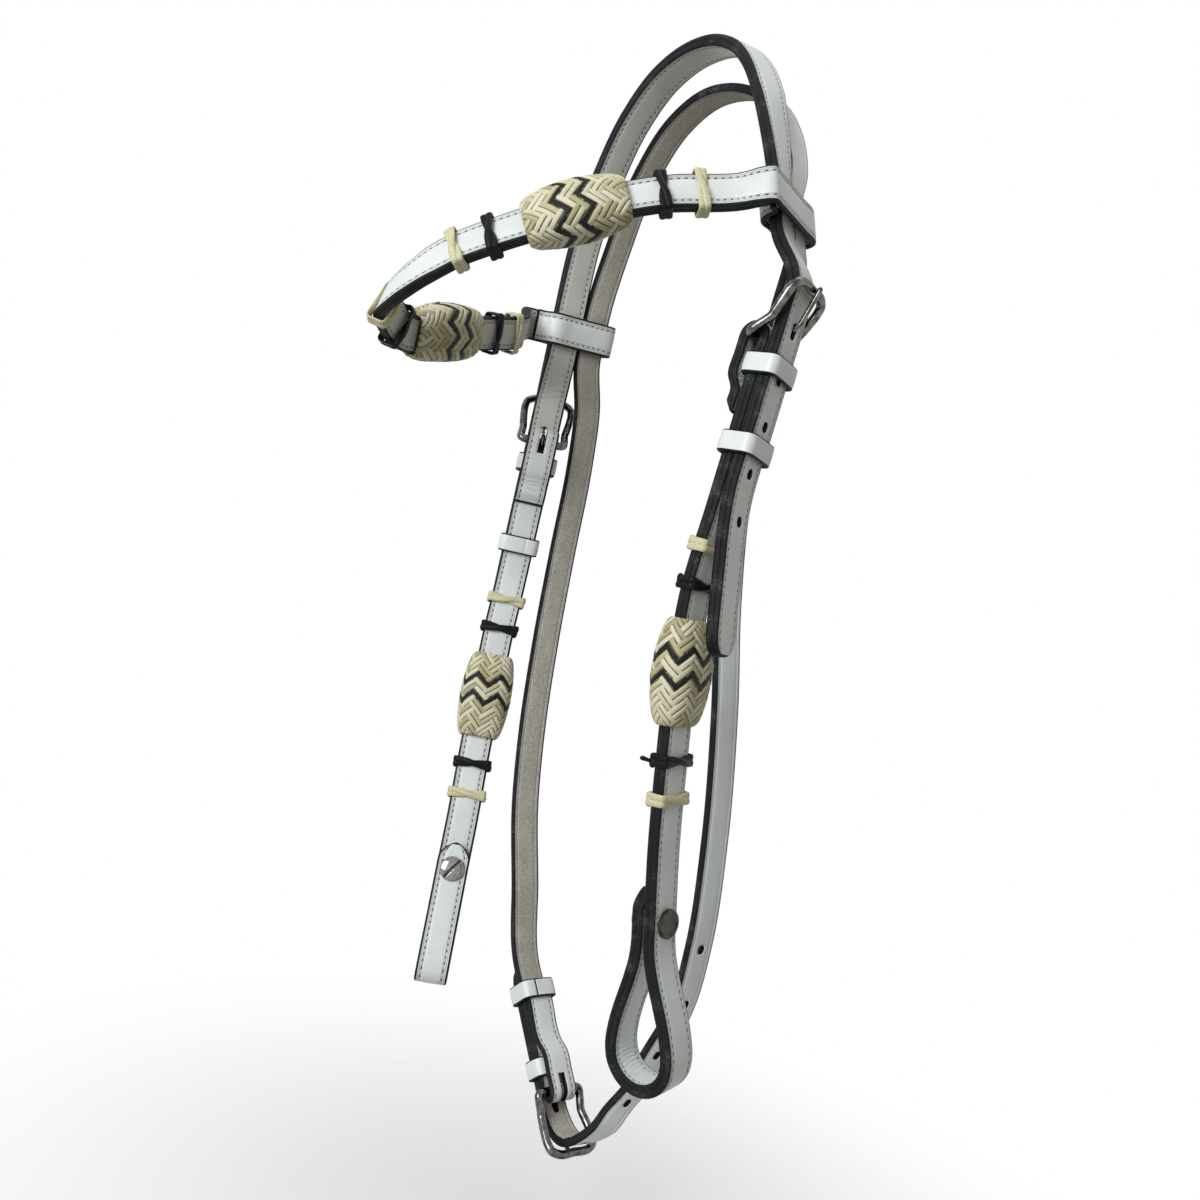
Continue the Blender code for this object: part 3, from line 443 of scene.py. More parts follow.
@dataclass(frozen=True)
class Seat:
    """Where a strap folds round a buckle's bar: the bar's centre and the strap's directions."""

    bar: Array
    along: Array
    across: Array
    out: Array
    width: float
    thick: float
    fold_thick: float
    turn_back: float
    frame_turn: float

    @property
    def fold_radius(self) -> float:
        """The middle of the folded leather, from the bar's centre."""
        return WIRE_RADIUS + SEAT_GAP + self.fold_thick / 2

    @property
    def outer_face(self) -> float:
        """The strap's outer face, from the bar's centre."""
        return self.fold_radius + self.fold_thick / 2

    @property
    def inner_face(self) -> float:
        """The strap's inner face, from the bar's centre."""
        return self.outer_face - self.thick

    @property
    def main_middle(self) -> float:
        """The middle of the strap, from the bar's centre."""
        return self.outer_face - self.thick / 2

    @property
    def billet_middle(self) -> float:
        """The middle of the billet that lies on the strap."""
        return self.outer_face + LAYER_GAP + self.thick / 2

    @property
    def billet_outer_face(self) -> float:
        """The outer face of the billet."""
        return self.outer_face + LAYER_GAP + self.thick

    @property
    def matrix(self) -> Matrix:
        """The frame of the seat: x across, y out, z along the strap."""
        return frame_matrix(self.bar, self.across, self.out, self.along)

    def point(self, along: float, out: float = 0.0) -> Array:
        """A point at a distance along the strap and out from the bar."""
        return self.bar + along * self.along + out * self.out

    def billet(self, *places: float) -> list[tuple[Array, Array]]:
        """A route's stops along the billet, at places along the strap."""
        return [(self.point(at, self.billet_middle), self.across) for at in places]

    def fold(self) -> Stations:
        """The leather from the tip of the turn-back, round the bar, to the full strap.

        Returns:
            Stations whose middles are, in turn, straight below the strap, on a half circle
            about the bar, and straight again above it.
        """
        fold = self.fold_thick
        close = self.inner_face - LAYER_GAP
        behind_bar = -WIRE_RADIUS - SEAT_GAP
        apart = min(self.inner_face - KEEPER_THICK - 2 * SEAT_GAP, behind_bar)
        keeper_end = KEEPER_FROM_BAR + KEEPER_BAND
        below = [
            (self.turn_back, close, SKIVED_TIP),
            (self.turn_back - SKIVE_LENGTH, close, fold),
            (keeper_end + CLOSING_LENGTH, close, fold),
            (keeper_end + LAYER_GAP, apart, fold),
            (KEEPER_FROM_BAR - LAYER_GAP, apart, fold),
            (FOLD_LEAVE, behind_bar, fold),
        ]
        above = [
            (FOLD_LEAVE, self.fold_radius, fold),
            (KEEPER_FROM_BAR, self.main_middle, self.thick),
        ]
        below = [(along, face - thick / 2, thick) for along, face, thick in below]
        turn = np.radians(np.linspace(-90, 90, 9))[:, None]
        radial = np.sin(turn) * self.out - np.cos(turn) * self.along
        round_bar = self.bar + self.fold_radius * radial
        parts = [Stations.of(round_bar, self.across, radial, self.width, fold)]
        for place, leg, sign in ((0, below, -1.0), (2, above, 1.0)):
            along, out, thicks = np.array(leg).T
            centres = self.bar + np.outer(along, self.along) + np.outer(out, self.out)
            leg_stations = Stations.of(centres, self.across, sign * self.out, self.width, thicks)
            parts.insert(place, leg_stations)
        return Stations.join(parts)


def seat(bar: Triple, along: Triple, across: Triple, side: float, sizes: tuple[float, ...]) -> Seat:
    """A seat at a sketched bar, its directions made square to each other."""
    ahead = unit(np.array(along, float))
    width = square_to(np.array(across, float), ahead)
    return Seat(placed([bar])[0], ahead, width, side * np.cross(ahead, width), *sizes)


CHEEK_SIZES = (STRAP_WIDTH, STRAP_THICK, CHEEK_FOLD_THICK, CHEEK_TURN_BACK, 0.0)
THROAT_LAYERS = (THROAT_WIDTH, THROAT_THICK, THROAT_FOLD_THICK)
THROAT_SIZES = (*THROAT_LAYERS, THROAT_TURN_BACK, THROAT_FRAME_TURN)
LEFT = seat((-90, -8, -184), (-0.04, -0.03, -1), (0.45, 0.89, 0), -1, CHEEK_SIZES)
RIGHT = seat((74.3, -6, -145), (0.0, -0.15, -1), (-0.34, 0.93, 0), 1, CHEEK_SIZES)
THROAT = seat((-10, 18, -494), (-0.62, -0.06, 0.78), (-0.05, 1.0, 0.06), 1, THROAT_SIZES)


@dataclass(frozen=True)
class BandLoop:
    """The browband's end loop: its centre, and the frame of the two straps that it holds."""

    centre: Array
    back: Array
    out: Array
    down: Array

    crown_offset: float = -(THROAT_WIDTH + LAYER_GAP) / 2
    throat_offset: float = (STRAP_WIDTH + LAYER_GAP) / 2
    half_length: float = (STRAP_WIDTH + LAYER_GAP + THROAT_WIDTH + LOOP_THICK) / 2 + LOOP_PLAY
    half_depth: float = (max(STRAP_THICK, THROAT_THICK) + LOOP_THICK) / 2 + LOOP_PLAY

    def place(self, back: Array | float, out: Array | float = 0.0, down: float = 0.0) -> Array:
        """Points of the loop's own frame, in world space."""
        across = np.multiply.outer(back, self.back) + np.multiply.outer(out, self.out)
        return self.centre + across + down * self.down

    def held(self, offset: float, order: int) -> list[tuple[Array, Array]]:
        """A route's stops through the loop: down it for an order of 1, and up it for -1."""
        step = order * HELD_STEP
        return [(self.place(offset, 0, down), self.back) for down in (-step, 0, step)]

    def stations(self) -> Stations:
        """The single layer, from its returned end round to where the band leaves it.

        Returns:
            Stations along a rounded rectangle about the two straps. Its outward direction
            is a quarter turn from its heading.
        """
        long = self.half_length
        deep = self.half_depth
        beside = deep - LOOP_THICK - LAYER_GAP
        corner = LOOP_THICK / 2 + LOOP_BEND
        first = [(-long - 6 * MM, beside), (-long - 1.5 * MM, beside - 0.6 * MM)]
        first += [(-long + 0.6 * MM, -deep + 2.2 * MM), (-long + 3 * MM, -deep)]
        first += [(-long / 3, -deep), (long / 3, -deep)]
        turns = [np.radians(np.linspace(start, start + 90, 4)) for start in (-90, 0)]
        bends = [
            np.column_stack([long - corner + corner * np.cos(turn), middle + corner * np.sin(turn)])
            for turn, middle in zip(turns, (-deep + corner, deep - corner))
        ]
        last = [(long / 3, deep), (-long / 3, deep), (-long + 3 * MM, deep)]
        path = np.concatenate([first, *bends, last])
        ahead = tangents(path)
        normals = ahead[:, 1:] * self.back - ahead[:, :1] * self.out
        centres = self.place(path[:, 0], path[:, 1])
        return Stations.of(centres, -self.down, normals, BROW_WIDTH, LOOP_THICK)


def band_loop(centre: Triple, down: Triple, back: Triple, side: float) -> BandLoop:
    """A browband loop at a sketched centre, its directions made square to each other."""
    drop = unit(np.array(down, float))
    behind = square_to(np.array(back, float), drop)
    return BandLoop(placed([centre])[0], behind, side * np.cross(drop, behind), drop)


LEFT_LOOP = band_loop((-83.5, -1.5, -126), (-0.12, 0.03, -1), (0.12, 0.99, 0), -1)
RIGHT_LOOP = band_loop((65, 3, -87.5), (0.27, 0.08, -1), (-0.45, 0.89, 0), 1)


def frame_side(place: Seat, length: Array | float) -> tuple[Array, Array]:
    """The side of a buckle's frame at lengths from the bar, as (out, up) in the seat's frame."""
    rise = np.minimum(length, FRAME_RISE)
    reach = np.maximum(np.asarray(length) - FRAME_RISE, 0)
    steep = FRAME_RISE_TILT - place.frame_turn
    shallow = FRAME_REACH_TILT - place.frame_turn
    out = rise * math.sin(steep) + reach * math.sin(shallow)
    return out, rise * math.cos(steep) + reach * math.cos(shallow)


def sketched(points: list[Triple], width: Triple | Array) -> list[tuple[Array, Triple | Array]]:
    """Stops at sketched points, all with one width direction."""
    return [(point, width) for point in placed(points)]


def crown_route() -> Route:
    """From the far billet's tip, up over the poll and down to the near billet's tip."""
    stops = sketched([(-105.5, -6.5, -294), (-104.6, -4.9, -271)], LEFT.across)
    stops += LEFT.billet(STRAIGHT, STRAIGHT / 2, 0, -THREADED, -CROWN_PARTS_AT)
    stops += LEFT_LOOP.held(LEFT_LOOP.crown_offset, -1)
    chosen = [(-77, -10, -79), (-67, -9, -47), (-53, -8, -23), (-33, -6, -5), (-16, -3, 2)]
    chosen += [(0, 0, 2.75), (15, 1, -3), (29, 0, -14), (41, -1, -29)]
    stops += sketched(chosen, (0.02, 1, 0)) + sketched([(51, -2, -47)], (-0.2, 0.98, 0))
    stops += RIGHT_LOOP.held(RIGHT_LOOP.crown_offset, 1)
    stops += RIGHT.billet(-CROWN_PARTS_AT, -THREADED, 0, STRAIGHT / 2, STRAIGHT)
    return Route(stops + sketched([(86.5, -12.5, -245), (90, -12.5, -274)], RIGHT.across))


def cheek_route(place: Seat, chosen: list[tuple], width: Triple, side: float) -> Route:
    """From the bar of a cheek's buckle down to its bit loop's screw."""
    stops = [(place.point(at), place.across) for at in np.linspace(0, STRAIGHT + 6 * MM, 4)]
    return Route(stops + sketched(chosen, width), side)


def throat_route() -> Route:
    """From the throatlatch buckle's bar, up, over the poll, down and back through the buckle."""
    middle = THROAT.main_middle
    stops = [(THROAT.point(at, middle), THROAT.across) for at in np.linspace(0, STRAIGHT, 4)]
    chosen = [(-61, 10.8, -409), (-69, 7.8, -372), (-75, 7.8, -338), (-83, 11, -285)]
    chosen += [(-87, 14, -240), (-89.5, 16.8, -190), (-88, 14.6, -163)]
    stops += sketched(chosen, (0.15, 0.99, 0))
    stops += LEFT_LOOP.held(LEFT_LOOP.throat_offset, -1)
    chosen = [(-73, 7, -80), (-58, 7, -45), (-38, 8, -23), (-16, 10, -14), (4, 13, -15)]
    stops += sketched(chosen + [(24, 16, -24), (38, 17, -40)], (0.02, 1, 0))
    stops += sketched([(49, 15.5, -58)], (-0.25, 0.97, 0))
    stops += RIGHT_LOOP.held(RIGHT_LOOP.throat_offset, 1)
    chosen = [(54, 19, -126), (45, 23.5, -160), (37.5, 25, -205), (33.5, 32.7, -249)]
    chosen += [(34.5, 41.4, -300), (35.5, 48.4, -364), (34.5, 50.4, -410), (31, 49.2, -440)]
    chosen += [(24.5, 42, -467), (21, 39.7, -480), (17.3, 34, -492), (15.7, 27.9, -501.5)]
    stops += sketched(chosen, (0, 1, 0))
    front_out, front_up = frame_side(THROAT, FRAME_RISE + FRAME_REACH)
    inside = front_up - WIRE_RADIUS - FRAME_CLEAR - THROAT_THICK / 2
    stops.append((THROAT.point(-inside, front_out), THROAT.across))
    stops += THROAT.billet(-THROAT_THREADED, 0, STRAIGHT / 2, THROAT_KEEPER_AT + THREADED)
    return Route(stops)


def brow_route() -> Route:
    """The browband between its two end loops, from the near one round the front to the far one."""
    near = RIGHT_LOOP
    far = LEFT_LOOP
    stops = [(near.place(-near.half_length - at, near.half_depth), -near.down) for at in BROW_LEAVE]
    chosen = [(70, -28, -88), (56, -54, -95), (38, -82, -108), (20, -106, -122), (9, -118, -130.5)]
    chosen += [(-1, -128, -141), (-10.4, -132, -147.5), (-21.4, -132, -152)]
    chosen += [(-30.4, -124.5, -156.5), (-39, -115, -159), (-50, -93, -152), (-63, -66, -144)]
    chosen += [(-77, -40, -135)]
    widths = [(-0.3, 0.15, 0.94), (-0.33, 0.18, 0.93), (-0.33, 0.18, 0.93), (-0.3, 0.25, 0.92)]
    widths += [(-0.25, 0.28, 0.93), (-0.2, 0.3, 0.93), (-0.1, 0.3, 0.95), (0.05, 0.27, 0.96)]
    widths += [(0.12, 0.22, 0.97), (0.16, 0.16, 0.97), (0.16, 0.12, 0.98), (0.16, 0.1, 0.98)]
    widths += [(0.12, 0.08, 0.98)]
    stops += list(zip(placed(chosen), widths))
    arrive = BROW_LEAVE[::-1]
    stops += [(far.place(-far.half_length - at, far.half_depth), -far.down) for at in arrive]
    return Route(stops, -1)


def linear(code: str) -> tuple[float, float, float, float]:
    """The linear colour of an sRGB hex value, with full alpha."""
    values = np.array([int(code[i : i + 2], 16) for i in (0, 2, 4)]) / 255
    curved = np.where(values <= 0.04045, values / 12.92, ((values + 0.055) / 1.055) ** 2.4)
    return (*curved.tolist(), 1.0)


def set_stops(ramp: bpy.types.ColorRamp, stops: list[tuple[float, str]]) -> None:
    """Gives a colour ramp its places from 0 to 1, each with its hex colour."""
    while len(ramp.elements) < len(stops):
        ramp.elements.new(0.5)
    for element, (place, code) in zip(ramp.elements, stops):
        element.position = place
        element.color = linear(code)


def set_inputs(tree: Tree, node: Node, inputs: dict) -> None:
    """Sets each input, by name or number, to its value or links it to its output socket."""
    for name, value in inputs.items():
        if isinstance(value, Socket):
            tree.links.new(value, node.inputs[name])
        else:
            node.inputs[name].default_value = value


def add_node(tree: Tree, kind: str, settings: dict, inputs: dict) -> Node:
    """Adds a shader node with its settings, values and links.

    Args:
        tree: The material's node tree.
        kind: The node's type, without its ShaderNode prefix.
        settings: Properties of the node. A colour ramp's stops go under that name.
        inputs: A value or an output socket for each input, by name or number.

    Returns:
        The new node.
    """
    made = tree.nodes.new("ShaderNode" + kind)
    for name, value in settings.items():
        if name == "stops":
            set_stops(made.color_ramp, value)
        else:
            setattr(made, name, value)
    set_inputs(tree, made, inputs)
    return made


def start_material(name: str) -> tuple[Material, Tree, Node]:
    """A new node material, with its tree and its Principled shader."""
    made = bpy.data.materials.new(name)
    made.use_nodes = True
    return made, made.node_tree, made.node_tree.nodes["Principled BSDF"]


def lumps(tree: Tree, size: float, detail: float = 3.0) -> Socket:
    """A pattern of soft lumps about size metres across, on Object coordinates."""
    coords = add_node(tree, "TexCoord", {}, {}).outputs["Object"]
    inputs = {"Vector": coords, "Scale": 1 / size, "Detail": detail, "Roughness": 0.6}
    return add_node(tree, "TexNoise", {}, inputs).outputs["Fac"]


def band_mask(tree: Tree, value: Socket, middle: float, half: float) -> Socket:
    """One where value is at middle, falling to nought at half away from it."""
    away = add_node(tree, "Math", {"operation": "SUBTRACT"}, {0: value, 1: middle})
    size = add_node(tree, "Math", {"operation": "ABSOLUTE"}, {0: away.outputs[0]})
    fall = {"From Min": half * 0.55, "From Max": half, "To Min": 1.0, "To Max": 0.0}
    smooth = {"interpolation_type": "SMOOTHSTEP"}
    return add_node(tree, "MapRange", smooth, {"Value": size.outputs[0], **fall}).outputs["Result"]


def cover(
    tree: Tree,
    shader: Node,
    colour: tuple[Socket, list[tuple[float, str]]],
    relief: tuple[Socket, float, float],
    rest: dict,
) -> None:
    """Colours a surface by one pattern and raises it by another.

    Args:
        tree: The material's node tree.
        shader: Its shader.
        colour: The pattern, and the stops of the colours that it picks.
        relief: The pattern, the strength of the relief and its height in metres.
        rest: The shader's other inputs.
    """
    toned = add_node(tree, "ValToRGB", {"stops": colour[1]}, {"Fac": colour[0]})
    raised = {"Height": relief[0], "Strength": relief[1], "Distance": relief[2]}
    bump = add_node(tree, "Bump", {}, raised)
    links = {"Base Color": toned.outputs["Color"], "Normal": bump.outputs["Normal"]}
    set_inputs(tree, shader, links | rest)


@dataclass(frozen=True)
class CoatedLeather:
    """Vegetable-tanned leather with a smooth painted coat.

    The coat gives a soft even gloss over a fine pebble grain and faint cloudy toning. Painted shade
    darkens the crease line near each edge and, where it is sewn, each needle hole and the row's
    groove.
    """

    name: str
    tones: tuple[str, str]
    # The colour of the painted shade in the pressed crease line.
    crease: str = "B4B7B2"
    # The colour of the painted shade in the needle holes and the groove of each sewing row.
    hole: str = "403F3A"
    sewn: bool = True
    roughness: float = 0.42
    grain_mm: float = 0.8

    def build(self) -> Material:
        """The material, its patterns on Object coordinates and on the strap's own UV map."""
        made, tree, shader = start_material(self.name)
        uv = add_node(tree, "UVMap", {"uv_map": "strap"}, {}).outputs["UV"]
        place = add_node(tree, "SeparateXYZ", {}, {0: uv})
        stops = [(0.3, self.tones[1]), (0.62, self.tones[0])]
        toned = add_node(tree, "ValToRGB", {"stops": stops}, {"Fac": lumps(tree, 22 * MM)})
        # Painted shade: the crease line near each edge is darkened to the crease colour.
        crease = band_mask(tree, place.outputs["X"], CREASE_INSET, CREASE_HALF)
        mix = {"Fac": crease, "Color1": toned.outputs["Color"], "Color2": linear(self.crease)}
        colour = add_node(tree, "MixRGB", {}, mix).outputs["Color"]
        raised = {"Height": self.relief(tree, uv), "Strength": 0.4, "Distance": 0.12 * MM}
        normal = add_node(tree, "Bump", {}, raised).outputs["Normal"]
        if self.sewn:
            # Painted shade: the needle holes and the row's groove are darkened to the hole colour,
            # and sunk by a bump.
            hole_shade_and_sink = self.needle_hole_shade_and_sink(tree, place)
            mix = {"Fac": hole_shade_and_sink, "Color1": colour, "Color2": linear(self.hole)}
            colour = add_node(tree, "MixRGB", {}, mix).outputs["Color"]
            sunk = {"Height": hole_shade_and_sink, "Strength": 0.8, "Distance": 0.4 * MM, "Normal": normal}
            normal = add_node(tree, "Bump", {"invert": True}, sunk).outputs["Normal"]
        links = {"Base Color": colour, "Normal": normal, "Roughness": self.roughness}
        set_inputs(tree, shader, {**links, "Coat Weight": 0.12, "Coat Roughness": 0.3})
        return made

    def relief(self, tree: Tree, uv: Socket) -> Socket:
        """The coat's height: its pebble grain, and creases across the strap where it bends.

        The creases are 1.6 mm apart and 9 mm long. They are as deep as four times the press
        attribute plus 45 mm patches of wear.
        """
        coords = add_node(tree, "TexCoord", {}, {}).outputs["Object"]
        pebbles = {"Vector": coords, "Scale": 1 / (self.grain_mm * MM)}
        grain = add_node(tree, "TexVoronoi", {"feature": "SMOOTH_F1"}, pebbles).outputs["Distance"]
        stretch = {"Vector": uv, "Scale": (1 / (9 * MM), 1 / (1.6 * MM), 1)}
        stretched = add_node(tree, "Mapping", {}, stretch).outputs["Vector"]
        noise = {"Vector": stretched, "Scale": 1.0, "Detail": 4.0, "Distortion": 0.6}
        creases = add_node(tree, "TexNoise", {}, noise).outputs["Fac"]
        stops = {"stops": [(0.46, "000000"), (0.66, "FFFFFF")]}
        worn = add_node(tree, "ValToRGB", stops, {"Fac": lumps(tree, 45 * MM, 2)}).outputs["Color"]
        press = add_node(tree, "Attribute", {"attribute_name": "press"}, {}).outputs["Fac"]
        add = {"operation": "MULTIPLY_ADD"}
        bent = add_node(tree, "Math", add, {0: press, 1: 4.0, 2: worn}).outputs[0]
        deep = add_node(tree, "Math", {"operation": "MULTIPLY"}, {0: creases, 1: bent}).outputs[0]
        return add_node(tree, "Math", add, {0: deep, 1: 3.0, 2: grain}).outputs[0]

    def needle_hole_shade_and_sink(self, tree: Tree, place: Node) -> Socket:
        """The mask of painted shade and of the sunk bump at the needle holes: one in a hole at each
        stitch, and 0.3 in the shallow groove of the row.
        """
        across = place.outputs["X"]
        narrow, wide = (band_mask(tree, across, STITCH_INSET, half * MM) for half in (0.38, 0.7))
        step = {0: place.outputs["Y"], 1: STITCH_PITCH}
        count = add_node(tree, "Math", {"operation": "DIVIDE"}, step).outputs[0]
        nearest = add_node(tree, "Math", {"operation": "PINGPONG"}, {0: count, 1: 0.5}).outputs[0]
        hole = band_mask(tree, nearest, 0.0, 0.24)
        times = {"operation": "MULTIPLY"}
        dark = add_node(tree, "Math", times, {0: narrow, 1: hole}).outputs[0]
        groove = add_node(tree, "Math", times, {0: wide, 1: 0.3}).outputs[0]
        return add_node(tree, "Math", {"operation": "MAXIMUM"}, {0: dark, 1: groove}).outputs[0]


@dataclass(frozen=True)
class PaintedEdge:
    """Leather edges, sanded and painted black.

    The paint gives a dull satin black in which raised fibres catch the light as a fine grey
    fuzz, thicker where the edge has worn.
    """

    name: str = "painted_leather_edge"
    paint: str = "090A0C"
    worn: str = "131416"
    fuzz: str = "55585B"
    roughness: float = 0.6
    gloss: float = 0.18

    def build(self) -> Material:
        """The material, its fuzz a noise of 0.55 mm lumps within 9 mm patches of wear."""
        made, tree, shader = start_material(self.name)
        fibres = lumps(tree, 0.55 * MM, 4)
        both = {0: fibres, 1: lumps(tree, 9 * MM, 2)}
        mixed = add_node(tree, "Math", {"operation": "MULTIPLY"}, both).outputs[0]
        stops = [(0.19, self.paint), (0.31, self.worn), (0.44, self.fuzz)]
        rest = {"Roughness": self.roughness, "Specular IOR Level": self.gloss}
        cover(tree, shader, (mixed, stops), (fibres, 0.5, 0.18 * MM), rest)
        return made


@dataclass(frozen=True)
class Suede:
    """The flesh side of a single layer of leather, left unlined.

    It gives a dull, slightly hairy grey-tan with darker flecks and no gloss.
    """

    name: str = "leather_flesh_side"
    tones: tuple[str, str, str] = ("918E82", "B1AEA2", "CDCABE")

    def build(self) -> Material:
        """The material, its flecks a 0.7 mm noise over 12 mm clouds."""
        made, tree, shader = start_material(self.name)
        flecks = lumps(tree, 0.7 * MM, 5)
        both = {0: lumps(tree, 12 * MM), 1: 0.3, 2: flecks}
        mixed = add_node(tree, "Math", {"operation": "MULTIPLY_ADD"}, both).outputs[0]
        stops = list(zip((0.46, 0.65, 0.84), self.tones))
        rest = {"Roughness": 0.92, "Sheen Weight": 0.25}
        cover(tree, shader, (mixed, stops), (flecks, 0.6, 0.15 * MM), rest)
        return made


@dataclass(frozen=True)
class BraidedRawhide:
    """Strips of rawhide, scraped, cut and plaited by hand, two of them dyed black.

    Dry rawhide gives a waxy cream that differs from strip to strip and streaks along each
    strip. Brown painted shade darkens the gaps where one strip goes under the next.
    """

    name: str = "braided_rawhide"
    creams: tuple[str, str, str] = ("A79E78", "CCC5A0", "E1DCC0")
    dyed: str = "070606"
    # The colour of the painted shade in the gaps of the plait.
    shade: str = "3A321D"

    def build(self) -> Material:
        """The material, driven by the strand, tone and depth attributes of the braid; where the
        depth is low it gets painted shade.
        """
        made, tree, shader = start_material(self.name)
        strand, tone, depth = (
            add_node(tree, "Attribute", {"attribute_name": name}, {}).outputs["Fac"]
            for name in ("strand", "tone", "depth")
        )
        streaks = lumps(tree, 1.2 * MM, 5)
        both = {0: streaks, 1: 0.45, 2: tone}
        mixed = add_node(tree, "Math", {"operation": "MULTIPLY_ADD"}, both).outputs[0]
        stops = {"stops": list(zip((0.15, 0.6, 1.1), self.creams))}
        cream = add_node(tree, "ValToRGB", stops, {"Fac": mixed}).outputs["Color"]
        dye = {"Fac": strand, "Color1": cream, "Color2": linear(self.dyed)}
        dyed = add_node(tree, "MixRGB", {}, dye).outputs["Color"]
        # Painted shade: brown where the plait's height is low, in the gaps between strips.
        fall = {"Value": depth, "From Min": 0.3, "From Max": 0.82, "To Min": 1.0, "To Max": 0.0}
        low = add_node(tree, "MapRange", {"interpolation_type": "SMOOTHSTEP"}, fall)
        shade = {"Fac": low.outputs["Result"], "Color1": dyed, "Color2": linear(self.shade)}
        shaded = add_node(tree, "MixRGB", {}, shade).outputs["Color"]
        raised = {"Height": streaks, "Strength": 0.35, "Distance": 0.12 * MM}
        normal = add_node(tree, "Bump", {}, raised).outputs["Normal"]
        links = {"Base Color": shaded, "Normal": normal}
        set_inputs(tree, shader, {**links, "Roughness": 0.5, "Specular IOR Level": 0.2})
        return made


@dataclass(frozen=True)
class Lace:
    """A narrow strip cut from hide and pulled tight while damp.

    It gives streaks along its length, with a soft gloss on the ridges.
    """

    name: str
    tones: tuple[str, str]
    roughness: float
    gloss: float

    def build(self) -> Material:
        """The material, its streaks a 0.8 mm noise."""
        made, tree, shader = start_material(self.name)
        streaks = lumps(tree, 0.8 * MM, 5)
        stops = list(zip((0.35, 0.65), self.tones))
        rest = {"Roughness": self.roughness, "Specular IOR Level": self.gloss}
        cover(tree, shader, (streaks, stops), (streaks, 0.5, 0.2 * MM), rest)
        return made


@dataclass(frozen=True)
class Thread:
    """Waxed polyester thread, laid by a saddler's machine.

    It gives off-white beads with a slight sheen and a fine twist.
    """

    name: str = "waxed_thread"
    tones: tuple[str, str] = ("BDBBAE", "E8E8E0")

    def build(self) -> Material:
        """The material, its twist a 0.4 mm noise, as fine as the render can show."""
        made, tree, shader = start_material(self.name)
        twist = lumps(tree, 0.4 * MM, 2)
        stops = list(zip((0.35, 0.6), self.tones))
        cover(tree, shader, (twist, stops), (twist, 0.4, 0.08 * MM), {"Roughness": 0.6})
        return made


@dataclass(frozen=True)
class Metal:
    """Metal buckle wire and screws, tumbled bright or blackened.

    Tumbling leaves a mirror with small ripples and a few dull patches from handling, in the
    roughness. The base colour is darker and lighter in the same patches, as painted reflections of
    mixed surroundings.
    """

    name: str
    tones: tuple[str, str]
    roughness: tuple[float, float]

    def build(self) -> Material:
        """The material, its dull patches and painted reflection patches a 3 mm noise and its
        ripples a 6 mm one.
        """
        made, tree, shader = start_material(self.name)
        patches = lumps(tree, 3 * MM, 4)
        low, high = self.roughness
        span = {"Value": patches, "From Min": 0.35, "From Max": 0.7, "To Min": low, "To Max": high}
        rough = add_node(tree, "MapRange", {}, span).outputs["Result"]
        # Painted reflection: the same patches darken and lighten the base colour.
        stops = list(zip((0.35, 0.65), self.tones))
        rest = {"Roughness": rough, "Metallic": 1.0}
        cover(tree, shader, (patches, stops), (lumps(tree, 6 * MM, 2), 0.4, 0.2 * MM), rest)
        return made


@dataclass(frozen=True)
class Finishes:
    """Every finish of the headstall, built once."""

    sewn: Material
    lining: Material
    plain: Material
    edge: Material
    suede: Material
    rawhide: Material
    black_lace: Material
    rawhide_lace: Material
    thread: Material
    steel: Material
    screw: Material
    bronze: Material

    @classmethod
    def make(cls) -> "Finishes":
        """Builds the materials."""
        white = ("E6ECE9", "DAE0DD")
        unsewn = ("EBF1EE", "E0E6E3")
        # The lining's greyer tones are partly its own leather and partly painted shade for the
        # inner faces that turn away from the light. Its needle holes take a lighter painted shade.
        inside = ("D3D5CD", "C4C6BE")
        lining = CoatedLeather("white_leather_lining", inside, hole="66655F", roughness=0.5)
        return cls(
            sewn=CoatedLeather("white_coated_leather", white).build(),
            lining=lining.build(),
            plain=CoatedLeather("white_coated_leather_unsewn", unsewn, sewn=False).build(),
            edge=PaintedEdge().build(),
            suede=Suede().build(),
            rawhide=BraidedRawhide().build(),
            black_lace=Lace("black_kangaroo_lace", ("040405", "101011"), 0.42, 0.13).build(),
            rawhide_lace=Lace("rawhide_lace", ("C2BA8E", "E0DBB6"), 0.5, 0.5).build(),
            thread=Thread().build(),
            steel=Metal("tumbled_steel", ("413F3D", "7A7773"), (0.04, 0.14)).build(),
            # Painted light: the screw steel is a lighter copy of the buckle steel, standing in for
            # the light on the screw heads.
            screw=Metal("bright_screw_steel", ("75736F", "9C9994"), (0.08, 0.2)).build(),
            bronze=Metal("blackened_bronze", ("312F2A", "4C4942"), (0.32, 0.5)).build(),
        )


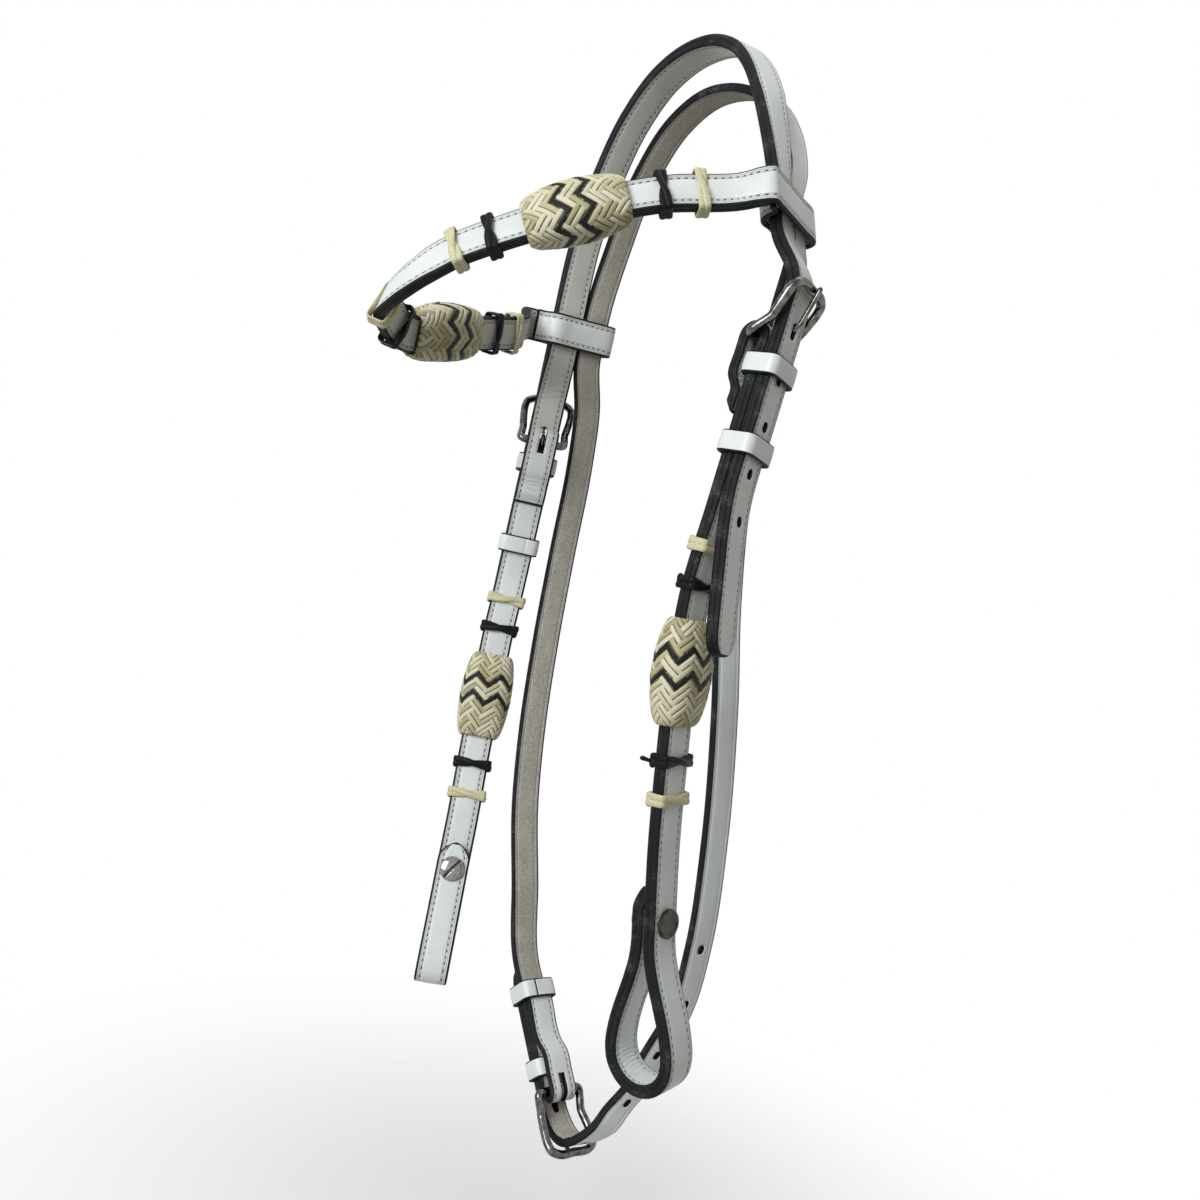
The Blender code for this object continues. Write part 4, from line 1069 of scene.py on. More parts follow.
@dataclass(frozen=True)
class Grid:
    """A surface as rows and columns of points, its last column joined to its first."""

    points: Array
    wrap_rows: bool = False
    uv: Array | None = None
    slots: Array | None = None
    press: Array | None = None

    def faces(self) -> tuple[Array, Array]:
        """The quads of the grid.

        Returns:
            Corner numbers in the flattened grid, and the same corners in a grid that is one
            row and column larger, whose last ones are the first again.
        """
        rows, columns = self.points.shape[:2]
        starts = np.arange(rows if self.wrap_rows else rows - 1)
        i, j = np.meshgrid(starts, np.arange(columns), indexing="ij")
        steps = ((0, 0), (0, 1), (1, 1), (1, 0))
        numbers = [((i + a) % rows) * columns + (j + b) % columns for a, b in steps]
        unwrapped = [(i + a) * (columns + 1) + j + b for a, b in steps]
        return np.stack(numbers, -1).reshape(-1, 4), np.stack(unwrapped, -1).reshape(-1, 4)

    def closed(self) -> tuple[Array, list[tuple[Array, Array, Array]]]:
        """The surface, with a fan about its middle over each end that is open.

        Returns:
            The points in rows. Then, for the quads and for each fan, the corner numbers, the
            corners' UVs and the material slot of each face.
        """
        rows, columns = self.points.shape[:2]
        flat = self.points.reshape(-1, 3)
        quads, unwrapped = self.faces()
        slots = np.zeros(len(quads), int) if self.slots is None else self.slots.reshape(-1)
        uv = np.zeros((len(quads), 4, 2)) if self.uv is None else self.uv.reshape(-1, 2)[unwrapped]
        groups = [(quads, uv, slots)]
        if self.wrap_rows:
            return flat, groups
        cap_slot = 0 if self.slots is None else Face.EDGE.value
        ring = np.arange(columns)
        after = (ring + 1) % columns
        last = (rows - 1) * columns
        ends = ((len(flat), after, ring), (len(flat) + 1, ring + last, after + last))
        for middle, first, second in ends:
            fan = np.stack([np.full(columns, middle), first, second], -1)
            groups.append((fan, np.zeros((columns, 3, 2)), np.full(columns, cap_slot)))
        return np.concatenate([flat, self.points[[0, -1]].mean(axis=1)]), groups


def outward(points: Array, faces: list[Array]) -> bool:
    """Whether the faces of a closed shape point outwards, by the sign of its volume."""
    volume = 0.0
    for group in faces:
        for k in range(1, group.shape[1] - 1):
            a, b, c = (points[group[:, n]] for n in (0, k, k + 1))
            volume += float(np.einsum("ij,ij->i", a, np.cross(b, c)).sum())
    return volume > 0


def add_object(name: str, data: bpy.types.ID) -> Object:
    """A new object of the scene."""
    made = bpy.data.objects.new(name, data)
    bpy.context.scene.collection.objects.link(made)
    return made


def build(name: str, grids: list[Grid], materials: list[Material], sharp: float = 55) -> Object:
    """One object made of closed grids, their open ends capped by fans.

    Args:
        name: The object's name.
        grids: Surfaces. Each grid that doesn't wrap its rows is closed at both ends.
        materials: The object's material slots.
        sharp: The angle in degrees past which an edge is drawn sharp.

    Returns:
        The object, at the origin, with its faces outwards.
    """
    points, faces, uvs, slots, start = [], [], [], [], 0
    for grid in grids:
        flat, groups = grid.closed()
        if not outward(flat, [group[0] for group in groups]):
            groups = [(numbers[:, ::-1], uv[:, ::-1], slot) for numbers, uv, slot in groups]
        points.append(flat)
        for numbers, uv, slot in groups:
            faces += (numbers + start).tolist()
            uvs.append(uv.reshape(-1, 2))
            slots.append(slot)
        start += len(flat)
    mesh = bpy.data.meshes.new(name)
    mesh.from_pydata(np.concatenate(points), [], faces)
    corner_uvs = np.concatenate(uvs).ravel().astype(np.float32)
    mesh.uv_layers.new(name="strap").data.foreach_set("uv", corner_uvs)
    mesh.polygons.foreach_set("material_index", np.concatenate(slots).astype(np.int32))
    mesh.shade_smooth()
    mesh.set_sharp_from_angle(angle=math.radians(sharp))
    for material in materials:
        mesh.materials.append(material)
    return add_object(name, mesh)


def cut_away(piece: Object, cutter: Object) -> None:
    """Takes the cutter's shape out of the piece for good, and removes the cutter."""
    modifier = piece.modifiers.new("Cut", "BOOLEAN")
    modifier.operation = "DIFFERENCE"
    modifier.solver = "EXACT"
    modifier.object = cutter
    graph = bpy.context.evaluated_depsgraph_get()
    baked = bpy.data.meshes.new_from_object(piece.evaluated_get(graph), depsgraph=graph)
    piece.modifiers.clear()
    piece.data = baked
    bpy.data.objects.remove(cutter)


def swept(centres: Array, sideways: Array, upwards: Array, halves: Array, sides: int) -> Array:
    """An oval carried along a path.

    Args:
        centres: The path, in rows.
        sideways: The direction of the oval's first axis at each row.
        upwards: The direction of its second axis.
        halves: The two half sizes of the oval at each row.
        sides: How many points go round.

    Returns:
        A grid of points: centre + a cos(turn) sideways + b sin(turn) upwards.
    """
    turn = np.linspace(0, 2 * math.pi, sides, endpoint=False)
    a = halves[:, :1] * np.cos(turn)
    b = halves[:, 1:] * np.sin(turn)
    return centres[:, None] + a[..., None] * sideways[:, None] + b[..., None] * upwards[:, None]


def round_tube(centres: Array, radii: Array, hint: Array, closed: bool) -> Grid:
    """A round tube along a path whose tangents never point along the hint."""
    ahead = tangents(centres, closed)
    sideways = unit(np.cross(ahead, hint))
    halves = np.column_stack([radii, radii])
    wire = swept(centres, sideways, np.cross(sideways, ahead), halves, WIRE_SIDES)
    return Grid(wire, wrap_rows=closed)


@dataclass(frozen=True)
class StrapSkin:
    """The surface of a strap: a crowned face with a crease and a sewing groove, and round edges.

    Distances in from the edge and the heights there are tables, so a strap's outline is the
    same table stretched to each station's width and thickness.
    """

    insets: tuple[float, ...] = (1.1, 1.4, 1.65, 1.9, 2.25, 2.7, 3.15, 3.7, 5.2, 8.0)
    heights: tuple[float, ...] = (0.0, 0.02, -0.2, 0.02, -0.04, -0.3, -0.04, 0.06, 0.1, 0.12)
    corner: float = 1.1 * MM
    notch: float = 0.4 * MM
    swell: float = 0.1 * MM
    wrinkle: float = 0.32 * MM
    wave: float = 2.1 * MM
    wander: tuple[float, float] = (2.6 * MM, 7 * MM)
    fade: tuple[float, float] = (1.7 * MM, 4.3 * MM)

    def outline(
        self, widths: Array, thicks: Array, layers: int
    ) -> tuple[Array, Array, Array, Array]:
        """The outline of each station.

        Args:
            widths: The width of each station.
            thicks: The thickness of each station.
            layers: How many layers show at the edge. Two meet in a notch at its middle.

        Returns:
            Across and outward places, the distance in from the edge, and the finish of each
            step, in rows for the stations. One face runs right to left, then comes the left
            edge, the other face left to right and the right edge.
        """
        half = (widths / 2)[:, None]
        deep = (thicks / 2)[:, None]
        shrink = np.minimum(1, half / (self.insets[-1] * MM))
        flat = np.minimum(1, deep / (1.5 * MM))
        inset = np.array(self.insets) * MM * shrink
        height = np.array(self.heights) * MM * flat
        table = np.broadcast_to(np.array(self.insets) * MM, inset.shape)
        corner = np.minimum(np.minimum(self.corner, half * 0.35), deep * 0.8)
        inset = inset + (corner - inset[:, :1]) * np.linspace(1, 0, inset.shape[1]) ** 6
        inset[:, -1:] = half
        face_x = np.hstack([half - inset, -(half - inset)[:, -2::-1]])
        face_y = np.hstack([deep + height, (deep + height)[:, -2::-1]])
        face_in = np.hstack([table, table[:, -2::-1]])
        turn = np.radians((30, 60, 90))
        bend_x = half - corner + corner * np.sin(turn)
        bend_y = deep - corner + corner * np.cos(turn)
        dip = self.notch if layers > 1 else -self.swell
        side = half + 0 * deep
        edge_x = np.hstack([bend_x, side, half - dip * flat, side, bend_x[:, ::-1]])
        edge_y = np.hstack([bend_y, deep * 0.22, deep * 0, -deep * 0.22, -bend_y[:, ::-1]])
        x = np.hstack([face_x, -edge_x, -face_x, edge_x])
        y = np.hstack([face_y, edge_y, -face_y, -edge_y])
        distance = np.hstack([face_in, edge_x * 0, face_in, edge_x * 0])
        face_steps = face_x.shape[1] - 1
        edge_steps = edge_x.shape[1] + 1
        order = [Face.OUTER] * face_steps + [Face.EDGE] * edge_steps
        order += [Face.INNER] * face_steps + [Face.EDGE] * edge_steps
        return x, y, distance, np.array([face.value for face in order])

    def grid(self, stations: Stations, layers: int, plain_from: float | None = None) -> Grid:
        """The strap's surface through its stations.

        Args:
            stations: The stations, finely spaced.
            layers: How many layers show at the edge.
            plain_from: The distance past which the outer face isn't sewn.

        Returns:
            The grid, whose UV map holds the distance in from the edge and along the strap.
            Where a bend presses a face together, a wave that wanders and fades is added.
        """
        x, y, distance, order = self.outline(stations.widths, stations.thicks, layers)
        press = pressed(stations, y)
        along = stations.distances()[:, None]
        wander = 0.3 * np.sin(x / self.wander[0] + along / self.wander[1])
        fade = 0.65 + 0.35 * np.sin(x / self.fade[0] + along / self.fade[1])
        inside = np.clip((stations.widths[:, None] / 2 - np.abs(x)) / (2 * MM), 0, 1)
        ridges = np.sin(2 * math.pi * (along / self.wave + wander))
        y = y + np.sign(y) * self.wrinkle * press * inside * fade * ridges
        u = np.hstack([distance, distance[:, :1]])
        uv = np.stack([u, np.broadcast_to(along, u.shape)], -1)
        slots = np.tile(order, (len(along) - 1, 1))
        starts, ends = along[:-1, 0], along[1:, 0]
        rounded = self.corner * 1.05
        slots[(ends < rounded) | (along[-1, 0] - starts < rounded)] = Face.EDGE.value
        if plain_from is not None:
            slots[(starts > plain_from)[:, None] & (slots == Face.OUTER.value)] = Face.PLAIN.value
        return Grid(stations.surface(x, y), uv=uv, slots=slots, press=press)


KEEPER_SKIN = StrapSkin(
    insets=(0.7, 0.9, 1.2, 1.7, 2.4, 3.2, 4.5),
    heights=(0.0, 0.05, 0.1, 0.15, 0.2, 0.25, 0.3),
    corner=0.7 * MM,
)


@dataclass(frozen=True)
class Stitching:
    """Rows of thread beads along both edges of a strap, on both faces."""

    pitch: float = STITCH_PITCH
    inset: float = STITCH_INSET
    length: float = STITCH_LENGTH
    radius: float = STITCH_RADIUS
    slant: float = math.radians(8)
    sunk: float = 0.22 * MM
    rings: tuple[float, ...] = (-0.42, -0.18, 0.18, 0.42)
    girths: tuple[float, ...] = (0.62, 1.0, 1.0, 0.62)

    def bead(self) -> tuple[Array, Array, Array]:
        """One bead: a spindle of four six-sided rings between two points.

        Returns:
            Its points, as along, sideways and up, its quads and its tips' triangles.
        """
        turn = np.radians(np.arange(6) * 60)
        along = np.broadcast_to(np.array(self.rings)[:, None] * self.length, (4, 6))
        girth = np.array(self.girths)[:, None] * self.radius
        rings = np.stack([along, girth * np.cos(turn), girth * np.sin(turn) * 0.9], -1)
        points, groups = Grid(rings).closed()
        points[-2:, 0] = (-self.length / 2, self.length / 2)
        quads, *fans = (group[0] for group in groups)
        return points, quads, np.concatenate(fans)

    def build(
        self, name: str, stations: Stations, start: float, end: float, finish: Material
    ) -> Object:
        """The beads of a strap, from start to end along it.

        Args:
            name: The object's name.
            stations: The strap's stations.
            start: Where the sewing starts.
            end: Where it ends.
            finish: The thread.

        Returns:
            One object that holds every bead.
        """
        first = math.ceil(start / self.pitch) + 0.5
        places = np.arange(first, end / self.pitch - 0.5) * self.pitch
        shape, quads, tris = self.bead()
        rows = [(side, face) for side in (-1, 1) for face in (-1, 1)]
        points = np.concatenate([self.row(stations, places, *row, shape) for row in rows])
        shift = (np.arange(len(points)) * len(shape))[:, None, None]
        turn = 1 if outward(points[0], [quads, tris]) else -1
        faces = []
        for group in (quads, tris):
            faces += (group + shift).reshape(-1, group.shape[1])[:, ::turn].tolist()
        mesh = bpy.data.meshes.new(name)
        mesh.from_pydata(points.reshape(-1, 3), [], faces)
        mesh.shade_smooth()
        mesh.materials.append(finish)
        return add_object(name, mesh)

    def row(self, stations: Stations, places: Array, side: int, face: int, shape: Array) -> Array:
        """The beads of one row.

        Args:
            stations: The strap's stations.
            places: The distances of the beads.
            side: The strap's edge, as -1 or 1.
            face: Its outer face, 1, or its inner one, -1.
            shape: The points of one bead.

        Returns:
            The points of every bead, its axis slanted to the row and sunk in the groove.
        """

        def line(shift: float) -> tuple[Array, Array]:
            """The row's points and normals, moved along the strap."""
            here = stations.at(places + shift)
            half = here.widths / 2
            inset = self.inset * np.minimum(1, 2 * half / STRAP_WIDTH)
            lift = here.thicks / 2 - self.sunk
            spot = here.centres + (side * (half - inset))[:, None] * here.across
            return spot + (face * lift)[:, None] * here.out, here.out * face

        middle, normal = line(0)
        ahead = unit(line(0.6 * MM)[0] - line(-0.6 * MM)[0])
        across = np.cross(normal, ahead)
        slanted = math.cos(self.slant) * ahead + side * math.sin(self.slant) * across
        axes = (slanted, np.cross(normal, slanted), normal)
        return middle[:, None] + sum(shape[:, i, None] * axes[i][:, None] for i in range(3))


def set_values(piece: Object, name: str, values: Array) -> None:
    """Stores one number for each point of a piece, under a name that a material reads."""
    attribute = piece.data.attributes.new(name, "FLOAT", "POINT")
    full = np.zeros(len(piece.data.vertices), np.float32)
    full[: values.size] = values.ravel()
    attribute.data.foreach_set("value", full)


def pressed(stations: Stations, heights: Array) -> Array:
    """How much the leather is pressed together where the strap is bent.

    Args:
        stations: The strap's stations.
        heights: How far out from the strap's middle each point is.

    Returns:
        A number from 0 to 1 for each point. It is (16 mm times the curvature) squared, and
        nought on the side that the bend stretches.
    """
    along = stations.distances()
    ahead = unit(np.gradient(stations.centres, along, axis=0))
    bend = np.sum(np.gradient(ahead, along, axis=0) * stations.out, axis=1)
    spread = np.exp(-((np.arange(-6, 7) / 3.0) ** 2))
    bend = np.convolve(bend, spread / spread.sum(), mode="same")[:, None]
    return np.clip(bend * np.sign(heights) * PRESS_LENGTH, 0, 1) ** 2


def oval_plugs(places: list[tuple[Matrix, float, float, float]]) -> list[Grid]:
    """Upright oval plugs through a strap.

    Args:
        places: For each plug its frame, x across and y through the strap, its radius, how
            much longer than wide it is, and its depth.

    Returns:
        One grid for each, a ring of two half circles at either end of its depth.
    """
    turn = np.linspace(0, 2 * math.pi, PLUG_SIDES, endpoint=False)
    grids = []
    for matrix, radius, stretch, depth in places:
        x = radius * np.cos(turn)
        z = radius * np.sin(turn) + np.sign(np.sin(turn)) * stretch / 2
        rings = [np.column_stack([x, 0 * x + y, z]) for y in (-depth / 2, depth / 2)]
        grids.append(Grid(moved(np.stack(rings), matrix), slots=np.ones((1, PLUG_SIDES), int)))
    return grids


def box_plug(matrix: Matrix, low: Triple, high: Triple) -> Grid:
    """A box-shaped plug between two corners of a frame."""
    ring = np.array([(low[0], low[1]), (high[0], low[1]), (high[0], high[1]), (low[0], high[1])])
    rings = [np.column_stack([ring, np.full(4, z)]) for z in (low[2], high[2])]
    return Grid(moved(np.stack(rings), matrix), slots=np.ones((1, 4), int))


def ride(piece: Object, body: str, slot: str, *nodes: str) -> Object:
    """Makes a piece ride a body and stand for CAD nodes."""
    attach(piece, body)
    if nodes:
        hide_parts(*nodes)
    log.info("%s rides %s: %d faces", piece.name, body, len(piece.data.polygons))
    return piece


@dataclass(frozen=True)
class Strap:
    """A leather strap: its surface, its holes and its stitching."""

    node: str
    body: str
    stations: Stations
    layers: int = 2
    backing: Backing = Backing.LINED
    sewn: tuple[float, float] = (4 * MM, 4 * MM)
    sewn_until: float | None = None
    step: float = STRAP_STEP

    def dress(self, finishes: Finishes, plugs: list[Grid]) -> None:
        """Builds the strap and its thread in place of the CAD node.

        Args:
            finishes: The finishes of the headstall.
            plugs: What is cut out of it.
        """
        fine = self.stations.refined(self.step, StrapSkin.corner)
        grid = StrapSkin().grid(fine, self.layers, self.sewn_until)
        inner = getattr(finishes, self.backing.value)
        slots = [finishes.sewn, finishes.edge, inner, finishes.plain]
        piece = build(self.node + "_leather", [grid], slots)
        set_values(piece, "press", grid.press)
        if plugs:
            cut_away(piece, build(self.node + "_plugs", plugs, slots))
        ride(piece, self.body, "white_leather", self.node)
        end = fine.distances()[-1] - self.sewn[1] if self.sewn_until is None else self.sewn_until
        thread = Stitching().build(self.node + "_thread", fine, self.sewn[0], end, finishes.thread)
        ride(thread, self.body, "white_leather")


def tongue_hole(place: Seat) -> tuple[Matrix, float, float, float]:
    """The oval hole of a billet that the tongue stands in, long enough for it to swing."""
    low = TONGUE_RING + TONGUE_RISE_IN - math.sin(TONGUE_SWING) * (place.outer_face + LAYER_GAP)
    high = TONGUE_RING + TONGUE_RISE_OUT - math.sin(TONGUE_SWING) * place.billet_outer_face
    bottom = min(low, high) - TONGUE_RADIUS - SEAT_GAP
    top = TONGUE_RING + TONGUE_RISE_OUT + TONGUE_RADIUS + 2 * SEAT_GAP + TONGUE_ROOM
    radius = TONGUE_RADIUS + TONGUE_PLAY
    centre = Matrix.Translation(Vector((0, place.billet_middle, -(bottom + top) / 2)))
    return place.matrix @ centre, radius, top - bottom - 2 * radius, place.thick + LAYER_GAP


def spare_holes(place: Seat, route: Route, pitch: float, steps: list[int]) -> list[tuple]:
    """The spare holes of a billet, at whole pitches from the one that the tongue is in."""
    used = route.nearest(place.point(-TONGUE_RING - TONGUE_RISE_IN, place.billet_middle))
    depth = place.thick + LAYER_GAP
    return [(route.matrix(used + step * pitch), HOLE_RADIUS, MM, depth) for step in steps]


def bar_slot(place: Seat) -> Grid:
    """The slot in a fold that the tongue's ring turns in."""
    half = TONGUE_RADIUS + TONGUE_PLAY
    reach = place.outer_face + LAYER_GAP / 2
    return box_plug(place.matrix, (-half, -reach - MM, -reach), (half, reach, SLOT_LENGTH))


@dataclass(frozen=True)
class CrownStrap:
    """The strap over the poll, with a pointed billet at each end."""

    def dress(self, finishes: Finishes) -> None:
        """Builds the strap with its spare holes and the two that the tongues stand in."""
        route = crown_route()
        size = (STRAP_WIDTH, STRAP_THICK)
        start = POINT_LENGTH + POINT_STEP
        stations = Stations.join(
            [
                route.point_of_strap(POINT_LENGTH, 0, *size).backwards(),
                route.run(start, route.length - start, *size),
                route.point_of_strap(route.length - POINT_LENGTH, route.length, *size),
            ]
        )
        steps = list(range(1, CROWN_SPARE_HOLES + 1))
        holes = spare_holes(LEFT, route, CROWN_HOLE_PITCH, [-step for step in steps])
        holes += spare_holes(RIGHT, route, CROWN_HOLE_PITCH, steps)
        holes += [tongue_hole(LEFT), tongue_hole(RIGHT)]
        Strap("crown_strap", "straps", stations).dress(finishes, oval_plugs(holes))


@dataclass(frozen=True)
class Throatlatch:
    """The long single-layer strap that passes over the poll and under the throat."""

    def dress(self, finishes: Finishes) -> None:
        """Builds the strap, sewn only where it is folded round its buckle's bar."""
        route = throat_route()
        size = (THROAT_WIDTH, THROAT_THICK)
        end = route.length - POINT_LENGTH
        stations = Stations.join(
            [
                THROAT.fold(),
                route.run(KEEPER_FROM_BAR + FOLD_STEP, end - POINT_STEP, *size),
                route.point_of_strap(end, route.length, *size),
            ]
        )
        steps = [*range(-THROAT_SPARE_HOLES, 0), 1]
        holes = [*spare_holes(THROAT, route, THROAT_HOLE_PITCH, steps), tongue_hole(THROAT)]
        plugs = [bar_slot(THROAT), *oval_plugs(holes)]
        sewn_until = 2 * THROAT_TURN_BACK + 3 * THROAT_FOLD_THICK
        sewn = (6 * MM, 0)
        strap = Strap("throatlatch_strap", "straps", stations, 1, Backing.SUEDE, sewn, sewn_until)
        strap.dress(finishes, plugs)


@dataclass(frozen=True)
class Cheek:
    """A cheek strap with its buckle's fold, its bit loop and its post screw."""

    prefix: str
    place: Seat
    route: Route
    screw_at: float
    drop: float
    radius: float
    head: str

    def loop(self) -> Stations:
        """The bit loop: down the outer strand, round the foot and up to the pointed tip.

        Returns:
            Stations along a teardrop. Its sides part by a smooth step of the way down.
        """
        half_gap = (STRAP_THICK + LAYER_GAP) / 2
        square_end = LOOP_TIP_ABOVE - LOOP_TIP_LENGTH
        along, across, out = (rows[0] for rows in self.route.axes(self.screw_at))
        start = self.route.point(self.screw_at)[0] + (self.place.main_middle - half_gap) * out
        flat = SCREW_HEAD_RADIUS + MM
        side_length = self.drop - self.radius
        share = np.linspace(0, 1, 7)
        eased = share**2 * (3 - 2 * share)
        parting = half_gap + (self.radius - half_gap) * eased
        side = np.column_stack([flat + (side_length - flat) * share, parting])
        front = np.concatenate([[(flat * 0.6, half_gap)], side])
        turn = np.radians(np.arange(22.5, 180, 22.5))
        foot = (side_length, 0) + self.radius * np.column_stack([np.sin(turn), np.cos(turn)])
        back = [*(front[::-1] * (1, -1)), (0.0, -half_gap), (-square_end, -half_gap)]
        path = np.concatenate([front, foot, back])
        points = start + path[:, :1] * along + path[:, 1:] * out
        normals = self.route.side * np.cross(tangents(points), across)
        body = Stations.of(points, across, normals, STRAP_WIDTH, STRAP_THICK)
        share = np.linspace(0.1, 1, 10)
        up = square_end + LOOP_TIP_LENGTH * share
        narrow = STRAP_WIDTH * (1 - 0.8 * share**1.8) * np.sqrt(1 - 0.6 * share**14)
        tip = start - up[:, None] * along - half_gap * out
        return Stations.join([body, Stations.of(tip, across, -out, narrow, STRAP_THICK)])

    def dress(self, finishes: Finishes) -> None:
        """Builds the strap and its two screw halves in place of the CAD nodes."""
        middle = self.place.main_middle
        start = KEEPER_FROM_BAR + FOLD_STEP
        run = self.route.run(start, self.screw_at, STRAP_WIDTH, STRAP_THICK, middle)
        stations = Stations.join([self.place.fold(), run, self.loop()])
        grip = 2 * STRAP_THICK + LAYER_GAP
        inside = middle - (STRAP_THICK + LAYER_GAP) / 2
        place = self.route.matrix(self.screw_at, inside)
        hole = (place, POST_RADIUS + SEAT_GAP, 0.0, grip + 4 * MM)
        plugs = [bar_slot(self.place), *oval_plugs([hole])]
        name = f"{self.prefix}_cheek_strap"
        strap = Strap(name, "straps", stations, backing=Backing.COATED, step=WRINKLED_STEP)
        strap.dress(finishes, plugs)
        self.post_screw(finishes, inside, grip)

    def post_screw(self, finishes: Finishes, inside: float, grip: float) -> None:
        """The post, with its head outside the strap, and the slotted screw from the inside.

        Args:
            finishes: The finishes of the headstall.
            inside: The middle of the two layers, out from the route.
            grip: The thickness that the screw holds together.
        """
        _, across, out = (rows[0] for rows in self.route.axes(self.screw_at))
        middle = self.route.point(self.screw_at)[0] + inside * out
        place = frame_matrix(middle, across, np.cross(out, across), out)
        face = grip / 2 + SEAT_GAP
        edge = face + HEAD_EDGE
        crown = face + SCREW_HEAD_HEIGHT
        groove = crown - 0.5 * MM
        radius = SCREW_HEAD_RADIUS
        rise = np.radians(np.linspace(0, 90, 9))
        dome = np.column_stack([radius * np.sin(rise), edge + (crown - edge) * np.cos(rise)])
        dome[0, 0] = AXIS
        rim = [(radius, face + HEAD_EDGE / 2), (radius - HEAD_EDGE / 2, face)]
        flat = [(AXIS, groove), (radius * 0.72, groove), (radius * 0.8, crown)]
        flat += [(radius * 0.93, crown), (radius, groove)]
        end = -grip / 2
        bore = SHANK_RADIUS + SEAT_GAP
        depth = SHANK_LENGTH - grip / 2 + SEAT_GAP
        tube = [(POST_RADIUS, face), (POST_RADIUS, end), (bore, end), (bore, depth), (AXIS, depth)]
        tip = face - SHANK_LENGTH
        shank = [(SHANK_RADIUS, face), (SHANK_RADIUS, tip), (AXIS, tip)]
        is_bronze = self.head == "dark_bronze"
        post_metal = finishes.bronze if is_bronze else finishes.steel
        head = turned((flat if is_bronze else dome.tolist()) + rim + tube, place)
        post = build(f"{self.prefix}_loop_post_metal", [head], [post_metal], HEAD_SHARP)
        ride(post, "straps", self.head, f"{self.prefix}_loop_post")
        metals = [finishes.screw, finishes.bronze]
        flipped = place @ Matrix.Rotation(math.pi, 4, "X")
        flipped = flipped @ Matrix.Rotation(DRIVER_SLOT_TURN, 4, "Z")
        slotted = turned(dome.tolist() + rim + shank, flipped)
        screw = build(f"{self.prefix}_loop_screw_metal", [slotted], metals, HEAD_SHARP)
        half = DRIVER_SLOT_WIDTH / 2
        low = (-half, -radius * 1.2, crown - DRIVER_SLOT_DEPTH - 0.3 * MM)
        plug = box_plug(flipped, low, (half, radius * 1.2, crown + MM))
        cut_away(screw, build("driver_slot", [plug], metals))
        ride(screw, "straps", "polished_steel", f"{self.prefix}_loop_screw")


def turned(profile: list[tuple[float, float]], place: Matrix) -> Grid:
    """A solid turned round the z axis of a frame from a profile of radius and height."""
    radius, height = np.array(profile).T[..., None]
    turn = np.linspace(0, 2 * math.pi, 48, endpoint=False)
    x = radius * np.cos(turn)
    rings = np.stack([x, radius * np.sin(turn), height + 0 * x], -1)
    return Grid(moved(rings, place))


@dataclass(frozen=True)
class Browband:
    """The strap across the brow, with an end loop at each end."""

    def dress(self, finishes: Finishes) -> None:
        """Builds the band: a single layer at its loops, lined between them."""
        route = brow_route()
        lining = (BROW_THICK - LOOP_THICK) / 2
        start = BROW_LINED_FROM + BROW_STEP
        ends = np.array((0, BROW_LINED_FROM))
        stations = Stations.join(
            [
                RIGHT_LOOP.stations(),
                route.stations(ends, BROW_WIDTH, LOOP_THICK),
                route.run(start, route.length - start, BROW_WIDTH, BROW_THICK, -lining),
                route.stations(route.length - ends[::-1], BROW_WIDTH, LOOP_THICK),
                LEFT_LOOP.stations().backwards(),
            ]
        )
        Strap("browband", "browband", stations).dress(finishes, [])


